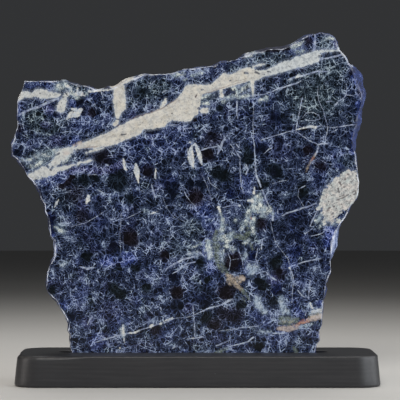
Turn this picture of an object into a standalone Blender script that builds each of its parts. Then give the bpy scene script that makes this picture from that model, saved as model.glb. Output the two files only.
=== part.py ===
"""A polished slice of sodalite standing in a slotted block of black-stained wood.

Metres, +Z up. The polished face looks along -Y and the stand lies along X. The
origin is the middle of the stand's underside, so the stand rests on Z = 0.
"""
import math

import bmesh
import bpy
from mathutils import Vector, noise

MM = 0.001

# The stand: a block with rounded corners, whose two ends lean in a little.
STAND_WIDTH = 290 * MM
STAND_DEPTH = 90 * MM
STAND_HEIGHT = 25 * MM
END_LEAN = 2.5 * MM
CORNER_RADIUS = 20 * MM
CORNER_SEGMENTS = 9
TOP_ROUND = 1.5 * MM
BOTTOM_ROUND = 2.2 * MM
ROUND_SEGMENTS = 3

# The slice: flat front and back, a rough rim, and a foot sawn level for the slot.
SLAB_THICKNESS = 20 * MM
FOOT_HEIGHT = 14 * MM
FOOT_LEFT = -101 * MM
FOOT_RIGHT = 94.5 * MM

# The slot is routed into the stand's top, and has round ends past the foot.
SLOT_GAP = 0.4 * MM
SLOT_BELOW_FOOT = 0.3 * MM
SLOT_PAST_FOOT = 10 * MM
SLOT_END_SEGMENTS = 8

# The slice's outline, clockwise as the polished face shows it. Each point is its
# X and Z, then how far the rough rim stands out past the polished face, in mm.
TOP_EDGE = [
    (-138.5, 243, 0.6), (-131, 242.5, 0.6), (-121, 242.5, 0.6), (-111.5, 243, 0.6),
    (-105.5, 243, 0.8), (-101, 241, 0.8), (-96, 240.5, 0.8), (-91, 239, 0.8),
    (-85.5, 238, 1.0), (-81.5, 236.5, 1.0), (-77, 236.5, 1.2), (-72, 239, 2.6),
    (-66.5, 239, 2.4), (-61.5, 242.5, 2.2), (-56, 245, 2.6), (-49, 247, 2.4),
    (-42.5, 248.5, 1.2), (-30.5, 248.5, 0.8), (-20.5, 248.5, 0.8), (-16, 250.5, 0.8),
    (-11.5, 252.5, 0.8), (-1.5, 253, 0.8), (7, 254.5, 0.8), (13.5, 255.5, 0.8),
    (17.5, 258, 0.8), (25.5, 258.5, 0.8), (27, 259.5, 0.8), (30.5, 260, 1.0),
    (33, 262, 1.2), (35.5, 262.5, 1.6), (39, 265, 2.4), (46, 267, 2.4),
    (53.5, 268.5, 2.4), (55, 269.5, 2.4), (64, 270, 2.4), (67, 269.5, 2.4),
    (73.5, 271.5, 1.8), (77.5, 274, 1.6), (81.5, 277, 2.0), (85, 279, 2.0),
    (90, 280.5, 1.0), (92.5, 280, 0.8), (95, 280.5, 0.8), (99, 281.5, 0.8),
    (103, 280, 0.8), (107, 279.5, 0.8), (110, 277.5, 0.8),
]
RIGHT_EDGE = [
    (112, 274, 0.8), (113, 270.5, 1.8), (114.5, 267.5, 1.6), (117.5, 264, 1.2),
    (119.5, 262, 1.6), (121, 259, 1.4), (122, 256.5, 1.6), (125, 255.5, 3.0),
    (127, 253, 4.4), (130, 249.5, 5.8), (132, 246, 6.4), (133.5, 242, 6.2),
    (134.5, 237.5, 6.0), (136, 232.5, 5.0), (135, 228.5, 3.8), (134, 224.5, 2.8),
    (133, 220, 3.0), (132, 214.5, 4.2), (131.5, 210, 4.6), (130, 206, 3.6),
    (129, 201, 4.0), (127.5, 194.5, 3.8), (127.5, 187.5, 3.2), (127, 184.5, 1.2),
    (127.5, 179, 1.0), (128.5, 172.5, 1.0), (129.5, 167, 1.0), (130, 161.5, 1.2),
    (130, 154, 1.2), (128, 148, 1.2), (123, 142, 1.0), (121, 137.5, 1.0),
    (118.5, 132.5, 1.0), (115.5, 128.5, 1.2), (114, 123.5, 2.6), (113, 118, 4.2),
    (112, 112, 4.8), (110.5, 106, 3.8), (108.5, 100.5, 1.8), (107, 97.5, 0.8),
    (107.5, 93.5, 0.8), (107.5, 89.5, 0.8), (106, 85.5, 1.6), (104.5, 81.5, 1.6),
    (103.5, 76, 1.4), (102.5, 69.5, 1.2), (101.5, 66, 0.9), (101, 59, 0.9),
    (100.5, 53.5, 0.9), (100, 47.5, 0.9), (98.5, 42, 0.9), (98.5, 38.5, 0.9),
    (98, 34, 0.9), (96, 31.5, 0.9), (94.5, 27, 0.8),
]
LEFT_EDGE = [
    (-101, 25.5, 0.8), (-102.5, 28, 1.2), (-103.5, 35, 1.4), (-102.5, 39.5, 1.2),
    (-104.5, 42, 1.2), (-103.5, 47, 1.2), (-105, 51.5, 0.9), (-108, 56.5, 0.9),
    (-111, 61, 0.9), (-113, 65.5, 1.2), (-117, 68.5, 1.6), (-121, 72.5, 1.4),
    (-122, 77.5, 1.2), (-121.5, 83, 1.2), (-121, 90, 1.2), (-120, 94, 1.6),
    (-117.5, 98.5, 1.8), (-115.5, 102, 2.0), (-116.5, 108, 2.4), (-116, 114, 2.2),
    (-119, 118, 1.6), (-119.5, 126, 1.2), (-120.5, 132.5, 1.2), (-122.5, 137.5, 1.0),
    (-123, 143, 1.4), (-126.5, 147.5, 1.6), (-127, 152.5, 1.6), (-130, 156.5, 1.6),
    (-133, 161.5, 1.2), (-137, 165.5, 1.2), (-140, 172, 1.2), (-144, 178, 1.0),
    (-145, 180, 0.8), (-149, 182.5, 0.9), (-149.5, 188, 1.0), (-149.5, 192, 1.0),
    (-147, 195.5, 0.8), (-146.5, 200.5, 0.8), (-144.5, 205.5, 0.8), (-145, 212.5, 1.0),
    (-145, 219, 1.0), (-144.5, 226, 0.8), (-142, 232, 0.8), (-140.5, 236.5, 0.8),
    (-139, 241.5, 0.6),
]
RIM_STEP = 3.7 * MM    # the longest side along the rough rim
FOOT_STEP = 14 * MM    # and along the sawn foot

# The rim from the polished face to the back, for each ring of points: how deep it
# is in the thickness, the share of the front overhang that it still lacks, the
# share of the back's inset that it has, and how strongly it swells and is chipped.
RIM_RINGS = [
    (0.00, 1.00, 0.00, 0.10),
    (0.05, 0.70, 0.00, 0.30),
    (0.16, 0.36, 0.00, 0.75),
    (0.28, 0.12, 0.00, 1.00),
    (0.40, 0.00, 0.00, 1.00),
    (0.52, 0.00, 0.10, 1.00),
    (0.65, 0.00, 0.25, 1.00),
    (0.79, 0.00, 0.50, 1.00),
    (0.91, 0.00, 0.80, 0.75),
    (1.00, 0.00, 1.00, 0.25),
]
BACK_INSET = (0.0 * MM, 3.6 * MM)
BACK_SWELL = 38 * MM    # the length over which the back's inset comes and goes
CHIP_SIZE = 11 * MM
CHIP_DEPTH = 2.4 * MM
CHIP_LEAN = 2.8 * MM
SWELL = 1.5 * MM        # the unchipped rim stands this far out of the outline
RING_WANDER = 0.05      # how far a ring strays, as a share of the thickness
ROUGH_FROM = 4 * MM     # the rim is smooth this far above the foot
ROUGH_FULL = 22 * MM    # and as rough as anywhere from here

SLAB_COLOUR = (0.055, 0.075, 0.17, 1.0)
SLAB_ROUGHNESS = 0.2
STAND_COLOUR = (0.040, 0.040, 0.042, 1.0)
STAND_ROUGHNESS = 0.6


def clear_scene():
    """Remove whatever objects the file opened with."""
    for obj in list(bpy.data.objects):
        bpy.data.objects.remove(obj, do_unlink=True)


def new_collection(name):
    """A new collection in the scene."""
    collection = bpy.data.collections.new(name)
    bpy.context.scene.collection.children.link(collection)
    return collection


def new_material(name, colour, roughness):
    """A Principled material of one colour."""
    material = bpy.data.materials.new(name)
    material.use_nodes = True
    shader = material.node_tree.nodes["Principled BSDF"]
    shader.inputs["Base Color"].default_value = colour
    shader.inputs["Roughness"].default_value = roughness
    shader.inputs["Metallic"].default_value = 0.0
    material.diffuse_color = colour
    return material


def new_object(name, bm, collection):
    """An object with the mesh that is in bm."""
    bmesh.ops.recalc_face_normals(bm, faces=bm.faces)
    mesh = bpy.data.meshes.new(name)
    bm.to_mesh(mesh)
    bm.free()
    obj = bpy.data.objects.new(name, mesh)
    collection.objects.link(obj)
    return obj


def block(width, depth, height, bottom):
    """A box centred in X and Y, standing on Z = bottom."""
    bm = bmesh.new()
    bmesh.ops.create_cube(bm, size=1.0)
    bmesh.ops.scale(bm, vec=(width, depth, height), verts=bm.verts)
    bmesh.ops.translate(bm, vec=(0.0, 0.0, bottom + height / 2), verts=bm.verts)
    return bm


def upright_edges(bm):
    """The edges that join the bottom of a box to its top."""
    return [e for e in bm.edges if abs(e.verts[0].co.z - e.verts[1].co.z) > 1 * MM]


def edges_at(bm, height):
    """The edges that lie level at a height."""
    return [e for e in bm.edges if all(abs(v.co.z - height) < 0.01 * MM for v in e.verts)]


def round_off(bm, edges, radius, segments):
    """Round the edges with a bevel."""
    bmesh.ops.bevel(
        bm, geom=edges, offset=radius, offset_type="OFFSET", segments=segments,
        profile=0.5, affect="EDGES", clamp_overlap=True,
    )


def make_stand(collection, cutters):
    """The slotted block that holds the slice."""
    bm = block(STAND_WIDTH, STAND_DEPTH, STAND_HEIGHT, 0.0)
    for vert in bm.verts:
        if vert.co.z > STAND_HEIGHT / 2:
            vert.co.x -= math.copysign(END_LEAN, vert.co.x)
    round_off(bm, upright_edges(bm), CORNER_RADIUS, CORNER_SEGMENTS)
    round_off(bm, edges_at(bm, STAND_HEIGHT), TOP_ROUND, ROUND_SEGMENTS)
    round_off(bm, edges_at(bm, 0.0), BOTTOM_ROUND, ROUND_SEGMENTS)
    stand = new_object("wooden_stand", bm, collection)
    stand.data.shade_smooth()
    stand.data.set_sharp_from_angle(angle=math.radians(35))
    stand.data.materials.append(new_material("black stained wood", STAND_COLOUR, STAND_ROUGHNESS))

    cut = stand.modifiers.new("slot", "BOOLEAN")
    cut.operation = "DIFFERENCE"
    cut.solver = "EXACT"
    cut.object = make_slot_cutter(cutters)
    return stand


def make_slot_cutter(cutters):
    """A long block with round ends, as a router bit leaves it."""
    width = SLAB_THICKNESS + 2 * SLOT_GAP
    length = FOOT_RIGHT - FOOT_LEFT + 2 * SLOT_PAST_FOOT
    floor = FOOT_HEIGHT - SLOT_BELOW_FOOT
    bm = block(length, width, STAND_HEIGHT, floor)
    round_off(bm, upright_edges(bm), width * 0.499, SLOT_END_SEGMENTS)
    cutter = new_object("slot_cutter", bm, cutters)
    cutter.location.x = (FOOT_LEFT + FOOT_RIGHT) / 2
    cutter.hide_render = True
    cutter.display_type = "WIRE"
    return cutter


def divided(points, longest):
    """The points, with more put between them so that no side is over longest."""
    result = []
    for start, end in zip(points, points[1:]):
        steps = max(1, math.ceil((end[0] - start[0]).length / longest))
        for step in range(steps):
            share = step / steps
            place = start[0].lerp(end[0], share)
            overhang = start[1] + (end[1] - start[1]) * share
            result.append((place, overhang))
    return result


def slab_outline():
    """The whole outline as (X-Z vector, overhang) pairs, from the top left corner."""
    def rough(rows):
        return [(Vector((x * MM, z * MM)), rim * MM) for x, z, rim in rows]

    foot_right = (Vector((FOOT_RIGHT, FOOT_HEIGHT)), 0.0)
    foot_left = (Vector((FOOT_LEFT, FOOT_HEIGHT)), 0.0)
    down = divided(rough(TOP_EDGE + RIGHT_EDGE) + [foot_right], RIM_STEP)
    foot = divided([foot_right, foot_left], FOOT_STEP)
    up = divided([foot_left] + rough(LEFT_EDGE + TOP_EDGE[:1]), RIM_STEP)
    return down + foot + up


def outward(outline, index):
    """The direction out of the outline at one of its points."""
    ahead = outline[(index + 2) % len(outline)][0]
    behind = outline[index - 2][0]
    along = (ahead - behind).normalized()
    return Vector((-along.y, along.x))


def chip(place):
    """How deep the flat-faced chips cut at a place on the rim."""
    cell = place / CHIP_SIZE
    centre = noise.voronoi(cell)[1][0]
    lean = noise.noise_vector(centre * 3.1).dot(cell - centre)
    depth = 0.5 + 0.5 * noise.noise(centre * 1.7)
    return max(0.0, CHIP_DEPTH * depth + CHIP_LEAN * lean)


def roughness_at(height):
    """0 on the sawn foot, 1 on the free rim above it."""
    share = (height - FOOT_HEIGHT - ROUGH_FROM) / (ROUGH_FULL - ROUGH_FROM)
    return min(1.0, max(0.0, share))


def rim_point(place, out, overhang, ring):
    """One point of the rim, on the ring at a given depth."""
    depth, front_share, back_share, chip_share = ring
    rough = roughness_at(place.y)
    on_face = depth in (0.0, 1.0)
    spot = Vector((place.x, SLAB_THICKNESS * depth, place.y))
    wander = 0.0 if on_face else RING_WANDER * rough * noise.noise(spot / CHIP_SIZE)
    swell = 0.5 + 0.5 * noise.noise(Vector((place.x, place.y, 0.0)) / BACK_SWELL)
    inset = BACK_INSET[0] + (BACK_INSET[1] - BACK_INSET[0]) * swell
    chipped = chip_share * (chip(spot) - SWELL)
    cut = front_share * overhang + rough * (back_share * inset + chipped)
    moved = place - out * cut
    across = SLAB_THICKNESS * (depth + wander - 0.5)
    return Vector((moved.x, across, moved.y))


def make_slab(collection):
    """The slice, lofted from its polished face through its rough rim to its back."""
    outline = slab_outline()
    count = len(outline)
    bm = bmesh.new()
    rings = []
    for ring in RIM_RINGS:
        row = []
        for index, (place, overhang) in enumerate(outline):
            row.append(bm.verts.new(rim_point(place, outward(outline, index), overhang, ring)))
        rings.append(row)
    for near, far in zip(rings, rings[1:]):
        for i in range(count):
            j = (i + 1) % count
            bm.faces.new((near[i], near[j], far[j], far[i]))
    front = bm.faces.new(rings[0])
    back = bm.faces.new(list(reversed(rings[-1])))
    front.normal_update()
    back.normal_update()
    bmesh.ops.triangulate(bm, faces=[front, back], ngon_method="BEAUTY")
    slab = new_object("sodalite_slab", bm, collection)
    slab.data.materials.append(new_material("polished sodalite", SLAB_COLOUR, SLAB_ROUGHNESS))
    return slab


def main():
    clear_scene()
    parts = new_collection("Sodalite slice")
    cutters = new_collection("Cutters")
    make_stand(parts, cutters)
    make_slab(parts)


main()
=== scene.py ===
"""The visual model of a polished sodalite slice in its black-stained wooden stand.

The slice keeps the frame's slab and breaks its rim finer; its veins, cells and
stains are drawn in millimetres, X and Z as the polished face shows them. The stand
is turned out again with softer edges. Metres, +Z up, the polished face along -Y.
"""
import math

import bmesh
import bpy
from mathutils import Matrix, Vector, noise


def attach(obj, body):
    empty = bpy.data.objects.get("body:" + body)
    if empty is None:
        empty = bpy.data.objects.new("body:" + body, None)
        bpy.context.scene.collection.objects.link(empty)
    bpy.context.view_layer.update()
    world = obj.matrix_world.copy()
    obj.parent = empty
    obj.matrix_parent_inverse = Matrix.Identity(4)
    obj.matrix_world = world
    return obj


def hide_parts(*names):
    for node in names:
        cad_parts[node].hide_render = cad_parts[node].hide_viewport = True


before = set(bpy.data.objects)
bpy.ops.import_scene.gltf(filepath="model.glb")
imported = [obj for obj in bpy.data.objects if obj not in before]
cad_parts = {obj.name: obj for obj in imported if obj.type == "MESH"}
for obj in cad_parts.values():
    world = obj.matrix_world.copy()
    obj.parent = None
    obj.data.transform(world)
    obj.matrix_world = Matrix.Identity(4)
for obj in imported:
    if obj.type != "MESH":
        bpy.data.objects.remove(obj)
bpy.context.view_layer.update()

MM = 0.001

# ---------------------------------------------------------------- sizes, in metres
SLAB_HALF = 10 * MM          # half the slice's thickness
RIM_CUTS = 3                 # how finely each edge of the rim is divided
RIM_SMOOTHING = 3
CHIP_SEED = 5                # the same chips each time the scene is built
COARSE_BREAK = (6.5 * MM, 0.55 * MM)   # size and depth of the breaks in the rim
FINE_BREAK = (2.3 * MM, 0.26 * MM)
FINE_BREAK_SHIFT = Vector((0.01, 0.02, 0.03))
CRUMB = (0.9 * MM, 0.10 * MM)
ROUGH_FROM = 26 * MM         # the rim is smooth below this height, in the slot
ROUGH_FULL = 32 * MM
EDGE_KEPT = 1.2 * MM         # the breaks fade out this far from the sawn sides
ARRIS_WIDTH = (0.45 * MM, 1.3 * MM)    # the strip round the polished face, painted pale as bruising and as a highlight
ARRIS_DROP = (0.10 * MM, 0.50 * MM)
ARRIS_WANDER = (1.8 * MM, 0.30 * MM)   # size and reach of its wandering
FLAKE_SIZE = 7 * MM          # how far apart the arris is flaked
BRUISE_AND_HIGHLIGHT_DEPTH = 1.5 * MM      # how far down the rim the pale bruising and painted highlight run

STAND_SIZE = Vector((290 * MM, 90 * MM, 25 * MM))
END_LEAN = 2.5 * MM
CORNER_RADIUS = 20 * MM
CORNER_SEGMENTS = 18
SIDE_STEP = 6 * MM
TOP_ROUND = 1.4 * MM
TOP_ROUND_SANDED = 3.4 * MM  # the front edge is sanded rounder at the left end
SANDED_FROM = -88 * MM
SANDED_FULL = -104 * MM
BOTTOM_ROUND = 2.2 * MM
ROUND_SEGMENTS = 5
HAND_WAVE = (45 * MM, 0.08 * MM)       # how the sanded sides wander
SLOT_MIDDLE = -3.25 * MM
SLOT_LENGTH = 215.5 * MM
SLOT_WIDTH = 20.8 * MM
SLOT_FLOOR = 13.7 * MM
SLOT_ARRIS = 0.45 * MM
SLOT_SEGMENTS = 12
SLOT_STEP = 8 * MM
FLAT_AREA = 400 * MM * MM    # a face larger than this is shaded flat
SHARP_ANGLE = 38             # degrees

# ---------------------------------------------------------------- the face's marks
# Each point of a line is its X, its Z and its half width there, all in mm.

# The big cream vein and the one by the top left corner, as an upper and a lower edge.
MAIN_VEIN = (
    [(-120, 174), (-116, 178), (-114.5, 181), (-112.5, 185.5), (-108, 188.3), (-102, 190), (-97.5, 190.4),
     (-95, 191.8), (-90, 193.6), (-84, 195.8), (-78, 198.6), (-72, 201), (-68, 203.2), (-64, 205.5),
     (-60, 207), (-57, 209.3), (-53, 211), (-48, 213), (-45, 214.5), (-40, 216), (-35, 218), (-30, 220),
     (-25, 222.5), (-20, 225.5), (-16.5, 228), (-15, 230.5), (-12, 233.5), (-11, 236), (-10, 238),
     (-8, 239), (-5, 239.5), (5, 239), (10, 239.5), (13, 241), (15, 243.5), (17, 245), (21, 248.5),
     (27, 247), (30, 249), (34, 251.5), (40, 253), (43, 253), (46, 251.3), (50, 250.3), (55, 251),
     (58, 252.5), (62, 254), (66, 257), (70, 258), (76, 259.5), (80, 262), (85, 263.5), (90, 265),
     (95, 266.5), (99, 263)],
    [(-120, 168), (-116, 171), (-112, 175.5), (-108, 177.3), (-104, 180.3), (-102, 183), (-99, 185),
     (-95, 187), (-90, 188.2), (-80, 188.3), (-75, 189.5), (-70, 190.2), (-66, 191), (-62, 193),
     (-58, 195), (-53, 196.8), (-50, 198), (-45, 200), (-43.5, 203), (-38, 203.5), (-28, 205), (-25, 206),
     (-24, 208), (-22, 209.5), (-19, 210.8), (-12, 209.5), (-8, 209.5), (-5, 210.5), (-3, 213.5),
     (0, 215), (1.5, 217), (2, 226), (4, 231), (6, 232), (12, 233.5), (17, 235), (22, 236), (26, 237.5),
     (31, 239), (36, 240.5), (43, 242), (50, 243.5), (52, 245), (57, 246), (61, 247.5), (66, 248.5),
     (70, 250), (75, 251), (80, 253), (84, 253), (88, 255), (93, 256), (97, 258), (99, 263)],
)
CORNER_VEIN = (
    [(-146, 236), (-142, 236), (-140, 234.5), (-136, 234), (-132, 233), (-130, 235), (-127, 236.5),
     (-124, 235.5), (-120, 234.5), (-115, 233.5), (-111, 233), (-108.5, 231)],
    [(-146, 226), (-143, 226), (-138, 229), (-128, 229), (-124, 227.5), (-120, 227.8), (-116, 228.5),
     (-112, 229), (-110, 230.2), (-108.5, 231.5)],
)

# Cream calcite: the rest of the veins, the wedge under the top edge and the blobs.
CREAM_LINES = [
    [(-137, 165.4, 1.5), (-131, 166, 3.4), (-124, 169, 4.7), (-117, 170.5, 4.3), (-110, 171.8, 2.4),
     (-104, 173.2, 1.6), (-98, 175.3, 1.3), (-92, 177, 1.1), (-86.5, 178.3, 1.3), (-84.3, 178.6, 0.6)],
    [(-89, 184.6, 0.7), (-85, 186, 0.9), (-80, 187.4, 1), (-75, 188.8, 0.9)],
    [(-62.5, 237, 4.2), (-62.5, 228, 5), (-62, 222, 4.9), (-63.5, 217, 3), (-64, 213.5, 1.6)],
    [(-64.5, 209.7, 1.7), (-66, 207.5, 1.8)],
    [(-68, 237.5, 1.8), (-63, 240, 2.6), (-58, 242.4, 2.4), (-52, 245, 2), (-47, 247, 1.5),
     (-42, 248.2, 1), (-36, 248, 0.7)], [(-118, 172.5, 3.2), (-113, 177.5, 3), (-109, 182, 3.6)],
    [(-29, 221.5, 1.4), (-26.3, 224.5, 1.6), (-25.6, 227.4, 0.6)], [(3.5, 218.3, 1.9), (7.3, 218.9, 2)],
    [(44, 253.4, 0.9), (49, 255, 1), (53, 255.5, 0.7)],
    [(94, 265.4, 1.1), (102, 266, 1.1), (114, 267, 0.9)],
    [(-104.5, 232, 2), (-106.5, 228.5, 2.4), (-107.8, 224, 3.4), (-109.5, 220, 3.6)],
    [(19, 234.5, 1.4), (19.6, 230, 1.5)], [(43.8, 242, 1.6), (44, 236, 1.2), (44, 230, 0.6)],
]

# Islands of dark stone inside the cream.
VEIN_HOLES = [
    [(-114, 182.6, 0.9), (-110.7, 184.2, 0.8)], [(-117.3, 171, 1.1), (-116.2, 173, 0.9)],
    [(-61, 199, 0.6), (-57, 199.6, 0.5)], [(38, 248.7, 1.1), (40, 248.3, 0.8)],
    [(3.2, 235, 0.6), (4.6, 235.2, 0.6)], [(25.6, 242.4, 0.6), (26.6, 242.7, 0.5)],
    [(-1.5, 229.5, 0.7), (-0.6, 231, 0.5)], [(-20.4, 216.4, 0.6)], [(0.8, 220.3, 1)],
    [(10, 228.6, 1.8), (14.4, 230, 2.2)], [(22.8, 231, 1.3), (26, 234.6, 1.9)],
    [(29.4, 232.6, 1.3), (29.6, 234.6, 1)], [(33.2, 235.6, 1.1), (34.6, 238, 0.8)],
    [(34.8, 231.6, 0.9), (36, 232.6, 0.7)], [(39.2, 233, 0.9), (40, 238, 0.9)], [(41.6, 232.4, 0.7)],
    [(48.3, 251.3, 0.5), (52.5, 252.2, 0.5)], [(97.5, 261.4, 1.2), (99.4, 262.4, 0.8)],
    [(102.6, 262.8, 1), (105.4, 263.8, 0.8)], [(109.6, 264.4, 0.8), (114, 265, 0.9)],
    [(-96, 186.8, 0.9), (-87, 187, 0.7)], [(46.4, 249.4, 0.9), (49, 248, 0.7)], [(53.4, 247.4, 0.6)],
    [(56, 249.8, 0.5), (58.4, 249.4, 0.6)], [(-107.4, 229.4, 0.7)],
    [(-105.6, 233, 0.7), (-104, 231, 0.5)], [(-108.6, 224.4, 0.4)], [(-99.4, 217.4, 0.5)],
    [(-126, 232.4, 0.4)], [(-118, 231, 0.5)],
]

# White lenses and blobs.
WHITE_LINES = [
    [(-49.5, 176, 0.6), (-49, 172.5, 1.9), (-48.4, 169, 2.4), (-48, 165, 1.4), (-47, 160.5, 0.4)],
    [(-51, 170.6, 0.8), (-49.4, 170.4, 1)], [(-33.4, 172, 0.6), (-33.6, 168, 0.8), (-33.8, 164.3, 0.5)],
    [(-59.2, 179.3, 0.8), (-58.5, 175, 1.2), (-58, 172.3, 0.8), (-56.5, 171, 0.4)],
    [(-4.4, 190, 0.8), (-5.2, 186.5, 1.8), (-5.4, 182, 2.4), (-4.8, 177.5, 2.4), (-3.4, 173, 0.6)],
    [(-7.9, 187.5, 0.4), (-7.2, 184, 0.8)], [(-6, 193, 0.8)], [(-3.4, 190.8, 0.7), (-2, 191.6, 1.1)],
    [(-1, 190.3, 1), (0.6, 186, 1.8), (2.1, 181, 1.9), (3.5, 175.6, 0.6)],
    [(-87.2, 150, 1.2), (-87.6, 147.5, 1.9), (-88.9, 144.2, 0.6)],
    [(-114.2, 141.4, 0.4), (-112.7, 144.2, 1), (-111.3, 146.9, 0.5)],
    [(-37.4, 136, 0.4), (-35, 136.8, 0.8), (-32.6, 137.7, 0.3)], [(-97, 231.6, 1.5), (-93.4, 232, 2.2)],
    [(-96, 236.8, 0.7), (-96, 233, 1)], [(-94.5, 232.5, 0.5), (-90, 230, 0.3)],
    [(-101, 236.5, 1), (-104, 238, 1.4)],
    [(-104.4, 212.2, 1), (-101, 215.3, 2.2), (-96.5, 216, 3), (-93.4, 219, 1.6)],
    [(-100.6, 219.6, 0.8), (-97.4, 219.4, 1.6)],
    [(79, 203, 0.5), (86, 205, 0.7), (90, 205.8, 1.1), (94.4, 205.2, 1.2)],
    [(-54, 40.4, 0.7), (-50, 41.2, 0.9), (-46.6, 42.4, 0.6)], [(-27, 50, 0.4), (-20, 52.6, 0.8)],
    [(-87, 233.8, 0.8), (-80, 234.3, 0.9), (-70, 235, 0.6), (-66, 235.6, 0.5)],
    [(-131, 242.2, 0.4), (-110, 242.4, 0.5)], [(-38, 247.2, 0.4), (-32, 247.2, 0.4)],
    [(-37.6, 45.6, 1), (-36, 47, 1.2)], [(-29.6, 48, 1.1)], [(-59.5, 39.6, 1.9)],
    [(-59.5, 41, 1.2), (-59.6, 47, 0.5)], [(-58.8, 37, 0.8), (-58.4, 33, 0.3)], [(-62, 28.6, 0.7)],
    [(90, 64.6, 0.8), (92, 60.3, 0.6)], [(73.6, 92.6, 0.8)],
    [(78, 244.6, 0.5), (81, 246.2, 1.5), (83.6, 246.2, 0.7)],
    [(39, 262, 1), (41.5, 264.2, 1.2), (44, 265.6, 0.6)],
    [(113.2, 270.6, 0.6), (113.2, 266.6, 0.8), (118, 262, 0.9), (121, 257.4, 0.8)],
    [(122, 254.8, 0.6), (125, 253.2, 0.8)], [(126.2, 184.6, 0.7), (127.2, 178, 1), (128.6, 171, 0.9)],
    [(110.6, 119, 0.4), (109.8, 112, 0.8), (108.8, 107, 0.4)], [(105.5, 85, 0.8), (103.8, 80.5, 0.7)],
    [(92, 57.4, 1.2), (97.6, 58.6, 1.6)], [(99.8, 60, 0.6), (99.4, 52, 0.6)],
    [(40.4, 146.7, 0.8), (44, 146.2, 1.4)], [(45.4, 157, 0.6), (45, 152.6, 1)],
    [(16.8, 141, 1.4), (18.2, 138, 0.8)], [(33.5, 142.6, 0.9)], [(-3.4, 36.6, 0.9)],
]

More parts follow.
